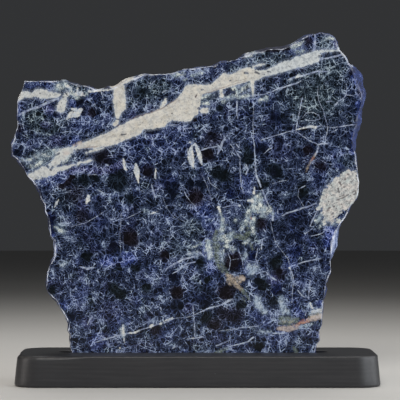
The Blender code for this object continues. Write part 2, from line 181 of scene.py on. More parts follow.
# Fine pale lines: long hairlines, short strands and fibres.
PALE_LINES = [
    [(-112, 228, 1.3), (-118, 225.6, 1.2), (-125, 222.4, 1.2), (-133, 219.6, 1), (-142, 215.4, 1)],
    [(39, 230, 0.5), (47, 231, 0.6), (53, 231.5, 0.6), (59, 233.5, 0.6), (66, 236.5, 0.7),
     (73, 238.5, 0.7), (80, 240.5, 0.7), (83, 242.5, 0.4)],
    [(72, 243, 0.6), (80, 246, 0.9), (84, 246.5, 0.8), (90, 248, 0.8), (96, 249.8, 0.8),
     (105, 249.8, 0.5)], [(97, 249, 0.5), (97.5, 246.3, 0.4)],
    [(96.5, 238, 0.3), (96, 232, 0.4), (97, 226, 0.4), (100.5, 219, 0.4), (101.5, 214, 0.4),
     (103.5, 209, 0.4), (104, 205, 0.3)],
    [(84, 229, 0.5), (82.6, 223, 0.6), (81, 215, 0.5), (79.6, 208, 0.5), (78.6, 201, 0.7)],
    [(103, 225.4, 0.6), (107, 226, 0.5)],
    [(110, 223, 0.9), (113, 226, 0.5), (117, 228.5, 0.5), (119, 231.5, 0.6), (119, 240, 0.3)],
    [(119, 231, 0.4), (126, 230, 0.3)],
    [(104, 205, 0.4), (103.6, 200, 0.5), (102, 196, 0.4), (102, 192, 0.4)],
    [(86, 158.5, 0.5), (81, 156, 0.4), (80.3, 150, 0.4), (84.5, 142.5, 0.3)],
    [(92, 258, 0.9), (98, 259.3, 0.8), (104, 260.4, 0.8), (110, 261.8, 0.9), (116, 263.4, 0.8)],
    [(24, 106, 0.3), (26.4, 99, 0.4), (25, 91, 0.3)], [(26.4, 99, 0.3), (33, 100, 0.3)],
    [(34, 104, 0.3), (36, 98, 0.5), (36.6, 92, 0.3)],
    [(31.6, 226, 0.5), (31.4, 219, 0.6), (32, 212, 0.4)],
    [(95, 137.6, 0.5), (91.6, 130, 0.7), (90, 126, 0.4)], [(60, 40.4, 0.7), (69.6, 40.4, 0.7)],
    [(20, 141, 0.4), (27, 142.6, 0.6), (33, 143, 0.4)],
    [(48, 108, 0.6), (46.6, 100, 0.6), (48.6, 94, 0.4)], [(52, 116, 0.5), (51, 108, 0.6)],
    [(84, 213, 0.4), (87, 216.5, 0.4), (92, 217, 0.4), (97, 215, 0.4), (98, 212, 0.4), (93, 210.5, 0.4),
     (87, 211, 0.4)],
    [(50.8, 195, 0.5), (60, 197.8, 0.6), (66, 199.6, 0.5), (72, 201.4, 0.5), (79, 203, 0.5)],
    [(94, 205.6, 0.6), (99, 206.4, 0.5)],
    [(99, 206.4, 0.3), (109, 204.7, 0.4), (115, 205.8, 0.6), (126, 207.5, 0.6)],
    [(16, 227.5, 0.5), (25, 228, 0.5), (33, 229, 0.6), (43, 230, 0.5)],
    [(-38.5, 238, 0.5), (-34, 242.5, 0.5)], [(-24.5, 234.5, 0.7), (-28, 233, 0.4)],
    [(-77, 233, 0.5), (-75.5, 229, 0.4), (-77.5, 227, 0.3)], [(-82, 224, 0.4), (-80.5, 219.5, 0.4)],
    [(78.8, 202, 0.4), (86, 196.6, 0.5), (92, 193.2, 0.5), (97.2, 191, 0.4)],
    [(96, 191, 0.5), (100, 192, 0.8), (104, 192, 0.5)],
    [(97, 190.4, 0.7), (95.6, 186, 0.9), (93.6, 182, 0.8)],
    [(44.9, 226, 0.3), (44.5, 210, 0.35), (44.5, 197, 0.5), (45.5, 190, 0.6), (46, 183, 0.5),
     (46.3, 172, 0.7), (47, 167, 0.7), (49, 162, 0.9), (50.8, 157.5, 0.7)],
    [(38.8, 175.4, 0.5), (40.6, 171.5, 0.6), (38.6, 167.4, 0.5)],
    [(67.6, 134.2, 0.6), (72, 136.8, 0.7), (77, 138.2, 0.7), (83, 140, 0.8), (90, 142.2, 0.8),
     (95, 144.4, 0.6)], [(60, 160, 0.4), (66, 162, 0.4), (72, 163, 0.3)],
    [(53, 184, 0.3), (57, 187.6, 0.5), (60, 188.6, 0.4)],
    [(52, 155, 0.8), (55, 147, 0.7), (57.5, 142, 0.7)],
    [(58, 131, 0.3), (60, 122, 0.25), (62.6, 112.6, 0.3)],
    [(62.6, 112.6, 0.3), (72.4, 99.8, 0.35), (74, 92.6, 0.4)],
    [(73.5, 93, 0.7), (76, 87, 0.5), (77, 82, 0.7), (76, 75, 0.4), (75.5, 65, 0.4)],
    [(80, 95.8, 0.5), (84, 97, 0.6), (90, 98.6, 0.6), (99, 100, 0.4)],
    [(80, 75, 0.5), (83, 71, 0.6), (86, 69, 0.5)], [(90, 83, 0.3), (89.4, 76, 0.8), (88.6, 68, 0.5)],
    [(86.8, 57, 0.6), (86.2, 54.5, 0.4)], [(71, 35, 0.4), (71, 30, 0.4)],
    [(-82, 33, 0.5), (-76, 35.2, 0.9), (-67, 37.6, 0.8), (-61, 39, 0.9)],
    [(-58, 40, 0.8), (-50, 41.2, 0.8), (-46, 43, 0.5), (-41, 44.2, 0.5), (-37, 46, 0.7), (-30, 48, 0.6),
     (-24, 49.6, 0.7), (-19, 52.4, 0.6)],
    [(-19, 52.4, 0.3), (-10, 53, 0.3), (-5, 54, 0.4), (0, 56.5, 0.5), (6, 59, 0.6), (10, 61, 0.9),
     (17, 62.4, 0.6), (22, 64.6, 0.9), (25, 66.6, 1.1), (28, 67.6, 0.6)],
    [(-3.6, 62.4, 0.6), (-3.2, 56, 0.6), (-2.5, 48, 0.5), (-2, 43, 0.8), (-2.4, 38, 0.5)],
    [(-9, 35.8, 0.4), (-3, 36.5, 0.6), (4.4, 37.6, 0.6)],
    [(15, 30.4, 0.6), (20, 32.5, 0.8), (26, 35, 0.5)],
    [(26, 30, 0.5), (35, 32, 0.7), (40, 33.6, 0.8), (45, 37.6, 0.8)],
    [(17, 42.2, 0.3), (30, 44, 0.4), (36, 45, 0.5), (49, 46.2, 0.5)],
    [(-94, 93.5, 0.6), (-88, 92, 1.1), (-83, 93.2, 0.7)],
    [(-101, 125.4, 0.3), (-88, 129.5, 0.4), (-80, 134, 0.3), (-74, 138.5, 0.2)],
    [(-61, 136.6, 0.25), (-62, 118, 0.3), (-61.2, 102.2, 0.2)],
    [(-62, 130, 0.3), (-54, 133.6, 0.4), (-45, 138.2, 0.3)],
    [(-12, 157, 0.3), (-9, 150, 0.5), (-5, 145, 0.3), (-1, 142, 0.2)],
    [(-28, 150, 0.2), (-24, 140, 0.3), (-19, 133, 0.2), (-10, 130, 0.2)],
    [(3, 168, 0.2), (7, 160, 0.3), (10, 152, 0.3), (11, 147, 0.2)],
    [(8, 166, 0.3), (10, 160.6, 0.4), (14, 157.6, 0.3), (20, 153.4, 0.2)],
    [(3, 187, 0.8), (9, 188.8, 0.6), (17, 190, 0.5)],
    [(16, 183.6, 0.6), (17.6, 187.5, 1.5), (19.5, 192, 1.2), (21.6, 196.2, 0.7)],
    [(22, 197, 0.4), (25, 200, 0.3)], [(-37, 160, 0.4), (-35.4, 154, 1.1), (-34, 149, 0.5)],
    [(-120, 163.6, 0.6), (-119.4, 161.4, 0.4)],
    [(-139, 178.4, 0.5), (-131, 180.6, 0.7), (-125, 184, 0.6)], [(-88, 167, 0.5), (-81, 167.4, 0.5)],
    [(-80, 155, 0.4), (-77, 153.6, 0.7), (-74, 151, 0.4)], [(-98, 180.6, 0.9)],
    [(-73, 175, 0.8), (-71.6, 174.6, 0.7)], [(-88, 47.4, 0.5), (-86.4, 51, 0.6), (-84, 54, 0.6)],
    [(-29.6, 61, 0.6), (-29, 58.4, 0.5)], [(-24, 206.5, 0.4), (-15, 207.2, 0.4)],
    [(-44, 203.5, 0.4), (-41, 201.8, 0.5), (-43, 199.6, 0.4)], [(-11, 203.6, 0.5), (-5, 204.6, 0.5)],
    [(-25, 92, 0.5), (-18, 96, 0.9), (-10, 100, 0.9), (-2, 102, 0.7)],
    [(-14, 93, 0.6), (-8, 96, 0.8), (-2, 97.6, 0.7)], [(-20, 88, 0.4), (-13, 92, 0.5)],
    [(-9, 103.6, 0.5), (-3, 105, 1), (2, 104.6, 1.2)], [(31, 191.6, 0.5), (33, 189, 0.6)],
    [(26, 192, 0.4), (30, 187, 0.5), (34, 181, 0.6)],
    [(34, 181, 0.4), (34, 170, 0.5), (35, 158, 0.5), (37, 152, 0.5)], [(86, 120, 0.4), (92, 124.4, 0.4)],
    [(91, 118, 0.4), (98, 119.8, 0.5), (101, 121.4, 0.5), (102, 124.6, 0.4)],
    [(60.5, 139, 0.8), (60, 131, 0.9)], [(64, 139.6, 0.6), (64, 136, 0.4)],
    [(55, 89, 0.5), (60, 84.6, 0.9), (63, 83, 0.5)], [(57.6, 79.6, 0.6)],
    [(-20, 28.4, 0.7), (-16.6, 30.4, 0.8)], [(-5, 190, 0.4), (-4.6, 186, 0.4)],
    [(107, 201, 0.4), (112, 203.5, 0.4)], [(93, 266, 1.2), (93.8, 274, 1.2), (94, 279, 0.8)],
    [(103, 276.4, 0.8), (106, 278, 0.7)], [(77, 268, 1), (80, 271.4, 1.2), (83, 273, 0.8)],
]

# Greenish-white clouds that break up into blotches.
CLOUD_LINES = [
    [(43, 147, 2), (49, 149, 3.2), (47, 141, 4.6), (54, 138.6, 3.6)], [(51, 135, 1.4), (55, 135, 1.2)],
    [(58, 140, 2), (60, 136, 1.2)], [(44.4, 132, 2), (43.8, 127, 2.2), (44.6, 120, 1.2)],
    [(41.4, 138, 2.4), (39.6, 131, 2.2), (36.4, 127, 2.2), (36, 123, 1.2)],
    [(18, 137, 0.7), (20.3, 132, 1.5), (20, 127, 2.2), (19, 121, 1.4)],
    [(19, 117, 2.6), (24, 115, 2.8), (28, 120.6, 1.6)], [(24, 110, 2), (28, 107.6, 2)],
    [(9, 113, 2.6), (9.4, 106, 3.2), (10.4, 101, 2.4)], [(20, 106, 1.6), (20, 98, 1.2)],
    [(38, 112.6, 1.2), (41, 114.6, 1.4)], [(-0.4, 105, 1.4), (-6, 104.5, 1)],
    [(-4, 109, 0.8), (3, 112, 0.8)], [(30.6, 130.6, 1.2)], [(38, 103, 1.6), (37.4, 100.4, 1.2)],
    [(41.6, 93.6, 2.6), (46.6, 93, 2.6), (43, 88.6, 2.2)],
    [(48, 67, 3.2), (48.6, 62, 2.8), (54, 58, 2.2)],
    [(66.4, 70, 0.9), (67, 64, 1.8), (69, 59, 3), (73, 57, 1.4)], [(67, 52, 0.8), (72, 49, 0.6)],
    [(92, 55.6, 2.6), (97, 55.4, 2.2)], [(80, 45.6, 1), (86, 46.4, 1.4), (91, 48.4, 1)],
    [(50, 41.4, 1.1), (58, 41.4, 0.9)], [(-113, 185, 2.8), (-104, 183, 3.4), (-108, 179, 2.4)],
    [(-124, 176.6, 1.6), (-133, 173.6, 1.4)],
    [(-140, 178.6, 0.8), (-133, 180, 1.4), (-127, 183, 1.8), (-120, 182, 1.8)],
    [(-111, 236.8, 2.8), (-106, 239.6, 2.4)], [(-102, 233, 2), (-96, 229, 1.4)], [(-89, 232, 1.4)],
    [(21.6, 228.6, 1), (28, 229.6, 1.6), (36, 230, 1.4), (43.6, 230.6, 1)],
    [(28.2, 236.6, 2), (31.8, 234, 2.2), (37, 236.6, 2.4), (42, 239.4, 1.6)],
    [(5, 229.4, 1.6), (9, 231.6, 1.4)], [(4.4, 224.6, 1.6), (9, 224, 0.8)],
    [(20, 226, 1.2), (24, 226.6, 1)], [(49, 226.4, 1.2), (55, 228.6, 1.8)],
    [(-108, 122, 1.8), (-113, 125, 1.2)], [(-108, 95.4, 2), (-104, 96.6, 1)],
    [(100, 136, 1.6), (95, 130, 1.4)], [(103, 131, 1.6), (98, 126.6, 1)], [(108.6, 128.4, 1.4)],
    [(-59.6, 45, 1.6), (-59.4, 39.4, 1.8)], [(-60, 50, 0.9)],
    [(76, 268.6, 1.4), (80, 270.6, 1.8), (84, 273, 1)], [(79, 265.4, 1.4), (84, 266.4, 1.2)],
    [(101, 274, 1), (105, 276.8, 1.4), (109, 275.6, 0.9)], [(40, 262, 1.4), (46, 264.6, 1.2)],
    [(-21, 246.6, 1), (-12, 247.6, 1.4)], [(-4, 246.4, 1.3), (5, 249.4, 1.2)], [(-10, 243, 0.9)],
]

# The speckled white patch by the right edge.
PATCH_LINES = [
    [(121, 164.4, 6.4), (114.6, 156.4, 8.6), (109, 148.6, 8.6), (105, 141.6, 6)],
    [(126.4, 162, 4.4), (126, 153.4, 4.4), (121.6, 146.6, 4.6), (116.6, 142, 3.6)], [(124, 167.4, 3.4)],
    [(110.6, 139.4, 3.4), (109.6, 135, 2.6)], [(112, 136.6, 1.6), (115.4, 139.6, 1.8)],
    [(110, 160.4, 3), (104.6, 153.6, 3.4), (101.4, 147, 3.2)], [(100.6, 143.6, 3.2), (96.4, 140.8, 1.2)],
    [(104.6, 137.6, 4.6), (105.6, 133.4, 4), (107, 130.6, 2.6)],
    [(101.6, 130.6, 1.8), (102.4, 127.6, 1.2)], [(112.4, 131, 2), (114, 128.6, 1.6)],
    [(119.4, 135, 1.2), (116.4, 131, 1.2)], [(132, 162, 5), (131, 152, 4.6)],
]

# The dark wedge cut out of the patch.
PATCH_WEDGE = [
    [(119, 137.6, 1), (115.6, 134.6, 1.7), (112.8, 132.8, 0.9)],
]

# The dark specks, lines and grey stripes within the patch.
PATCH_SPECKS = [
    [(113.4, 161, 1), (114.6, 158.8, 0.6)], [(112.4, 156, 0.9), (113, 153.4, 0.7)], [(118, 163.6, 0.9)],
    [(120.4, 167.6, 0.8)], [(114, 167, 0.7)], [(116, 164, 0.4)], [(127, 164, 0.6)], [(122.6, 150.4, 0.6)],
    [(124, 153.6, 0.5), (126, 154.6, 0.6), (126.8, 152.6, 0.5), (124.8, 151.6, 0.5)],
    [(111.6, 146.8, 0.4), (116, 148.6, 0.5), (121, 151.4, 0.4)], [(113.6, 149.6, 0.4), (117, 151, 0.3)],
    [(105.8, 141, 0.7), (103.6, 138.4, 0.6)], [(109.2, 142, 0.9)], [(110.6, 140.2, 0.5)],
    [(104.8, 145.6, 0.6)], [(121.2, 144.6, 0.6)], [(107.4, 150.6, 0.5)], [(103, 149, 0.5)],
    [(100.6, 136.4, 0.5)], [(103.8, 134, 0.5)], [(108.4, 136.6, 0.6), (106.8, 135.4, 0.4)],
    [(117, 157.6, 0.5)], [(120, 159.4, 0.4)], [(122.6, 161.6, 0.5)], [(109.6, 154.6, 0.5)],
    [(107.2, 158.6, 0.5)], [(115, 143.6, 0.5)], [(118.4, 154.6, 0.4)],
]

# Rust at the broken ends of the seams.
RUST_LINES = [
    [(79.2, 46.4, 1.1), (83.6, 49.4, 1.7), (88.6, 50.6, 1.3)], [(92.4, 180.6, 0.9), (91.4, 178.8, 0.5)],
    [(-63.4, 205.8, 0.6), (-62.5, 205.7, 0.5)], [(42.6, 133, 0.4), (43.4, 131.4, 0.4)],
]

# Thin brown seams just inside the big vein's edges.
SEAM_LINES = [
    [(-54, 211, 0.4), (-47, 214, 0.5), (-38, 216.6, 0.5), (-30, 219.4, 0.6), (-23, 223.4, 0.5),
     (-16, 228, 0.4)],
    [(4.6, 231.6, 0.4), (12, 234, 0.5), (20, 236.8, 0.5), (28, 239.4, 0.4), (38, 242, 0.4)],
    [(-92, 188.6, 0.4), (-84, 189.4, 0.6), (-80, 189.6, 0.3)], [(-1.4, 229, 0.6), (-0.6, 231, 0.5)],
]

# Pink stains beside the veins and low on the right.
PINK_LINES = [
    [(65, 44.4, 1.4), (72, 44, 2.4), (79, 45.4, 1.8)], [(89, 51.4, 1.2), (93, 52.4, 2), (98, 54, 2)],
    [(-98, 191, 1.2), (-93.6, 192.4, 1.4)], [(-106, 184, 1.5), (-103, 184.8, 1.2)], [(36, 84.4, 1.8)],
    [(-136.6, 165.2, 1), (-133, 163.6, 1.1)],
]

# Tan stains along the clouds and the rust.
TAN_LINES = [
    [(24.6, 86.6, 2.2), (27, 82.6, 3.8), (32, 82.6, 3.4), (36, 84.4, 2)],
    [(30, 80, 1.8), (35, 75.6, 1.2)], [(68, 49.6, 0.7), (76, 49.4, 0.9)],
    [(80, 47.2, 0.8), (88, 50.4, 0.8)], [(90, 53, 1.2), (96, 55.4, 1.4)],
    [(94.4, 184, 0.5), (91, 178, 0.5), (89, 174.4, 0.6), (87, 170, 0.4)], [(-104, 232.4, 1.6)],
]

# Pale green stains along the clouds.
GREEN_LINES = [
    [(42, 243, 1.6), (43.4, 237, 1), (43, 231, 0.3)], [(14.6, 25, 1.2), (17.6, 26, 1.4), (24, 28.6, 0.8)],
    [(77, 29.4, 0.9), (78.5, 25.4, 1.6)], [(-29.4, 46.6, 0.7), (-29, 48, 0.8)],
    [(19, 96.6, 0.8), (22.6, 90, 1.4), (25, 88.4, 0.9)],
    [(35.4, 75.4, 1), (39, 71, 1), (41.4, 67.6, 0.7)], [(94, 57.4, 1), (97, 55, 1.2)],
    [(66, 53, 1.6), (72, 51, 2.8), (79, 51, 2.2)], [(66, 48.4, 1.6), (74, 48, 1.6)],
    [(36, 68.4, 0.6), (38, 66.4, 0.6)],
    [(15.4, 122, 1.4), (13.6, 116, 1.8), (15.6, 110, 2.6), (15, 102, 2.2), (16.6, 95, 1.6),
     (20, 90, 1.2)], [(31, 118, 1.8), (37, 117.6, 2.6), (41, 121, 1.8)],
    [(38.6, 128, 1), (40.6, 124.6, 1.2)], [(42, 112, 0.9), (44, 108, 0.8)],
    [(3.6, 219, 1.2), (8, 219.4, 1.2)],
]

# Soft fields that turn the stone paler or darker and shift its colour. These are their
# kinds, and how far each kind drives the stone's lift, sink, blue, green, violet and brown.
KINDS = {
    "haze":        (0.50, 0.00, 0.00, 0.00, 0.00, 0.00),
    "bright haze": (1.00, 0.00, 0.15, 0.00, 0.15, 0.00),
    "blue haze":   (0.40, 0.00, 0.60, 0.00, 0.00, 0.00),
    "green haze":  (0.45, 0.00, 0.00, 0.80, 0.00, 0.00),
    "royal":       (0.10, 0.00, 1.00, 0.00, 0.00, 0.00),
    "violet":      (0.20, 0.00, 0.00, 0.00, 1.00, 0.00),
    "green":       (0.00, 0.10, 0.00, 1.00, 0.00, 0.00),
    "dark":        (0.00, 0.40, 0.00, 0.00, 0.00, 0.00),
    "black":       (0.00, 1.00, 0.00, 0.00, 0.00, 0.00),
    "green black": (0.00, 0.90, 0.00, 0.90, 0.00, 0.00),
    "brown black": (0.00, 0.85, 0.00, 0.00, 0.00, 1.00),
    "navy":        (0.00, 0.80, 0.80, 0.00, 0.00, 0.00),
}
# The fields of each kind by their strength; a field's points are like a line's.
FIELDS = {
    "haze": {
        0.3: [[(-40, 110, 9)]],
        0.35: [[(-118, 100, 5)]],
        0.4: [[(12, 132, 8), (28, 126, 10)], [(100, 266, 6)], [(122, 244, 6)], [(92, 207, 7)],
            [(-96, 28, 6)]],
        0.45: [[(12, 132, 14), (16, 100, 8)]],
        0.5: [[(112, 262, 5), (118, 250, 7)], [(-26, 120, 15)],
            [(58, 46, 13), (86, 64, 12), (92, 84, 9)], [(20, 226, 10)], [(6, 206, 5)], [(-60, 60, 6)],
            [(42, 90, 9)], [(58, 46, 9), (44, 50, 8)]],
        0.6: [[(-142, 238, 4), (-128, 239, 4)], [(-62, 139, 5)], [(-108, 122, 6)], [(102, 254, 12)],
            [(62, 34, 10), (84, 36, 8)], [(28, 222, 6)], [(-24, 92, 8)], [(61, 83, 6)]],
        0.7: [[(-74, 212, 6)], [(-76, 137, 7)], [(-34, 126, 8), (-20, 124, 10), (-6, 116, 9)],
            [(118, 252, 6)], [(36, 234, 6), (24, 232, 5)]],
        0.8: [[(-72, 208, 5), (-78, 204, 5)]],
        0.9: [[(-132, 174, 5), (-116, 177, 5)], [(8, 224, 5)], [(-16, 98, 9), (-6, 102, 8)]],
    },
    "bright haze": {
        0.5: [[(-92, 85, 6)], [(60, 47, 5), (50, 48, 5)], [(30, 256, 3), (48, 262, 4)],
            [(106, 275, 4), (100, 262, 3)]],
        0.6: [[(-93, 62, 6)], [(-119, 200, 5)], [(4, 200, 4)], [(78, 158, 5)], [(38, 224, 4)],
            [(-90, 125, 4)], [(-86, 221, 4)], [(12, 126, 6)], [(20, 253, 4), (12, 250, 4)],
            [(-24, 94, 5), (-14, 99, 5), (-4, 104, 5)]],
        0.7: [[(-128, 192, 6)], [(80, 240, 5)], [(-50, 218, 4)], [(67, 56, 5)], [(56, 40, 5)],
            [(-3, 90, 5)], [(90, 242, 5)], [(-30, 82, 5), (-44, 88, 5)], [(78, 268, 5), (86, 268, 4)]],
        0.8: [[(-106, 172, 4), (-98, 173, 3)], [(32, 140, 6)], [(112, 257, 5)],
            [(22, 134, 6), (10, 124, 6)], [(-33, 121, 6)], [(-53, 174, 4)], [(49, 39, 5)]],
        0.9: [[(-143, 189, 5), (-135, 191, 6)], [(12, 224, 5)], [(-89, 126, 5)]],
        1: [[(-106, 170, 4), (-100, 171, 3.5)], [(-51, 219, 5.5)], [(-112, 167, 3.5), (-96, 169, 3.5)],
            [(-72, 213, 5)], [(8, 113, 5), (7, 103, 6)], [(48, 66, 6), (50, 60, 6), (57, 56, 5)],
            [(-24, 246, 3.6), (-14, 247, 6), (0, 248, 7), (8, 250, 4)]],
    },
    "blue haze": {
        0.25: [[(30, 38, 14)]],
        0.35: [[(-24, 38, 10)], [(84, 84, 9)]],
        0.4: [[(80, 62, 9)]],
        0.45: [[(97, 166, 8)]],
        0.5: [[(-95, 207, 8), (-80, 210, 7)], [(62, 136, 6)],
            [(-92, 76, 6), (-98, 68, 5), (-106, 62, 4)], [(-70, 96, 6), (-52, 102, 8)], [(-80, 38, 7)],
            [(62, 36, 10), (82, 52, 8)]],
        0.6: [[(41, 154, 6)], [(46, 226.6, 5), (56, 226.6, 5)], [(-45, 67, 6)], [(-36, 93, 5)]],
        0.7: [[(-134, 239, 4), (-114, 239, 4)], [(-124, 162, 6), (-117, 163, 7), (-108, 166, 6)],
            [(92, 274, 5)], [(48, 56, 9)]],
        0.8: [[(42, 92, 7)]],
        0.9: [[(-148, 188, 3)], [(4, 138, 9), (10, 128, 8)], [(112, 184, 7), (113, 176, 5)],
            [(110, 120, 4), (109, 108, 4)], [(-114, 107, 3)], [(-107, 61, 4.5)], [(-60, 50, 7)],
            [(8, 112, 6), (9, 102, 6), (10, 92, 6)]],
    },
    "green haze": {
        0.35: [[(66, 144, 3), (76, 154, 3.5), (86, 165, 3.5)]],
        0.5: [[(-110, 127, 8)], [(-18, 110, 9), (-6, 104, 8)], [(46, 256, 8), (30, 252, 6)]],
        0.6: [[(118, 178, 7)]],
        0.7: [[(-103, 240, 6), (-93, 236, 5)]],
        0.8: [[(10, 229, 5)], [(102, 272, 8)]],
        0.9: [[(-111, 238, 5), (-106, 238, 5)]],
        1: [[(-134, 177, 6), (-122, 182, 7), (-113, 188, 4)]],
    },
    "royal": {
        0.3: [[(-48, 190, 16), (-14, 196, 14)], [(2, 138, 6)]],
        0.4: [[(38, 162, 9)]],
        0.5: [[(-100, 224, 4.5)], [(74, 96, 7)]],
        0.6: [[(-143, 222, 4), (-143, 214, 3)], [(-80, 34, 9)], [(81, 58, 6)]],
        0.7: [[(-98, 193.8, 6)], [(97.6, 39, 3)], [(97, 65, 3)]],
        0.8: [[(-107.6, 62, 5)]],
        0.9: [[(-118, 134, 4), (-117, 120, 4)], [(130, 224, 4), (130, 214, 4)],
            [(106, 122, 6), (105, 112, 5)], [(-75, 97, 5), (-65, 98.4, 6), (-55, 100, 7)]],
        1: [[(127, 246, 6), (131, 240, 5)], [(125.6, 200, 4), (125.6, 187, 4)]],
    },
    "violet": {
        0.3: [[(66, 186, 12)]],
        0.4: [[(-70, 58, 12)]],
        0.5: [[(-92, 143, 6)], [(-52, 214, 5)], [(-6.5, 61, 5)], [(29, 100, 8)]],
        0.6: [[(-121, 207, 5)], [(-113, 194, 7)], [(-117, 80.6, 3.5)], [(-87, 49, 6)]],
        0.7: [[(-118.5, 220, 5)], [(-104, 171, 4.5), (-88, 171.6, 4), (-75, 170.5, 3.6), (-62, 174, 5)],
            [(61, 83, 6)]],
        0.8: [[(110.6, 273, 4)]],
    },
    "green": {
        0.4: [[(-104, 148, 12)]],
        0.5: [[(-4, 124, 12)]],
        0.6: [[(-126, 180, 11)], [(66, 256, 12), (50, 262, 8)]],
        0.7: [[(108, 252, 14)], [(-42, 234, 12), (-28, 238, 8)]],
        0.8: [[(-130, 212, 12), (-118, 204, 9)], [(92, 232, 30)]],
    },
    "dark": {
        0.3: [[(-104, 80, 6)]],
        0.5: [[(-128, 208, 9)], [(60, 183, 12)], [(84, 134, 7), (72, 122, 7)],
            [(-102, 62, 12), (-84, 48, 14)], [(110, 225, 14)]],
        0.6: [[(-133, 225, 5), (-124, 225, 3)], [(-30, 238, 8)], [(62, 44, 4)], [(-78, 160, 12)]],
        0.7: [[(4, 118, 4)], [(-106, 213, 6)], [(-22, 189, 6)], [(-75, 104, 5), (-67, 105, 5)],
            [(-88, 153, 5)], [(96, 155, 5)], [(52, 117, 5)], [(88, 79, 5)], [(-40, 146, 9)],
            [(-94, 101, 9)]],
        0.8: [[(-95, 184, 4), (-86, 182, 5.5)], [(74, 146, 8)], [(116, 199, 6), (108, 194, 5)],
            [(-70, 104, 5)], [(52, 218, 6), (62, 225, 6)], [(-29, 148, 6)], [(119, 268, 5)],
            [(0, 70, 14)]],
        0.85: [[(-92, 150, 19), (-84, 116, 20)]],
        0.9: [[(61, 184, 8)], [(91, 97, 6)], [(-100, 108, 6)], [(-46, 232, 7.5)],
            [(-84, 110, 10), (-70, 122, 8)], [(-92, 152, 8)], [(-63, 80, 7)]],
        1: [[(82, 154, 14), (74, 124, 18)], [(92, 116, 10)], [(95, 158, 8)], [(10, 75, 10)],
            [(-13, 107, 6)], [(64, 190, 8), (66, 197, 6)], [(56, 113, 6), (56, 105, 6)], [(-41, 54, 7)],
            [(-15, 131, 7)], [(91, 35, 7)], [(76, 177, 7)], [(-16, 173, 7)], [(40, 116, 6)],
            [(-3, 75, 6)]],
    },
    "black": {
        0.35: [[(71, 208, 6)]],
        0.5: [[(-70, 178, 5)], [(64, 213, 10)]],
        0.6: [[(-143, 185, 4.5)], [(50, 188, 8)]],
        0.7: [[(-36, 124, 3)]],
        0.8: [[(-77.5, 224, 3.6)], [(-20, 156, 8)], [(-33, 202.4, 3.4), (-40, 201.6, 2.4)],
            [(-102, 54, 4)], [(-97.6, 34.5, 2)], [(6, 66.5, 8)]],
        0.85: [[(-19, 86, 5.6)]],
        0.9: [[(-93, 227, 4.5)], [(2, 160.5, 4)]],
        0.95: [[(-16, 62.5, 6.5)]],
        1: [[(-6, 159, 5)], [(-67, 108, 6.5)]],
    },
    "green black": {
        0.6: [[(-54, 148, 6)], [(18, 220, 4)]],
        0.7: [[(-64, 162, 11)], [(62, 170, 9)], [(60, 66, 5)]],
        0.8: [[(-90, 163, 7)], [(-82, 165, 4.5)], [(16, 169, 7), (22, 166, 7)],
            [(40, 186, 5), (40, 178, 5)], [(-116, 75, 5)], [(-84.6, 64.6, 2.6)], [(7, 53, 7)]],
        0.9: [[(53, 159.6, 5)], [(84, 154, 6)], [(-88, 102, 5)], [(-41, 77, 4.6)], [(34, 63, 5.5)],
            [(3, 97.6, 4.6)], [(52, 80, 7)], [(48, 30, 5)]],
        0.95: [[(-68, 77, 5.5), (-62, 72, 6)]],
        1: [[(-63.4, 92.6, 4)], [(-50, 92, 4)], [(8, 83.5, 3.6)], [(63, 97, 6.5)]],
    },
    "brown black": {
        0.4: [[(-98, 152, 9)], [(12, 195, 9)]],
        0.5: [[(-143.5, 205, 5)], [(-92, 134, 7)], [(131, 232, 4)], [(20, 56, 6), (30, 55, 8)]],
        0.6: [[(-76, 181, 8)], [(98, 174, 6)], [(124.5, 249.5, 3)], [(65, 88, 6)]],
        0.7: [[(-84, 217, 4)], [(-76, 237.5, 3), (-68, 237.5, 3)], [(-33, 43, 5)]],
        0.8: [[(-109, 157.8, 2.6), (-104, 161.6, 4), (-99.4, 165.6, 2.2)], [(-40, 170, 5.5)],
            [(50, 128, 6.5)], [(88, 187, 5)], [(48, 268.5, 3), (72, 269, 3)], [(-26.5, 103, 4.5)],
            [(14, 47, 6)]],
        0.9: [[(8, 184, 6.5)], [(-2, 149, 8)], [(88.4, 274, 4)], [(-3, 211.6, 3)], [(23, 73, 8)]],
        1: [[(-54, 117, 8)], [(-16.5, 73.5, 6)], [(28, 98, 8.5)]],
    },
    "navy": {
        0.5: [[(130, 245, 4)]],
        0.6: [[(78, 105, 8)]],
        0.9: [[(26.5, 152.5, 4.5)], [(33, 96, 5)]],
        1: [[(-117.4, 133, 3.6), (-117, 122, 3.8)], [(43.5, 102, 4.5)], [(64, 75.6, 5)]],
    },
}


def tone(red, green, blue):
    """A colour as it should look, from 0 to 255, as the shader's linear light."""
    def linear(step):
        share = step / 255.0
        return share / 12.92 if share <= 0.04045 else ((share + 0.055) / 1.055) ** 2.4

    return (linear(red), linear(green), linear(blue), 1.0)


# ---------------------------------------------------------------- node helpers


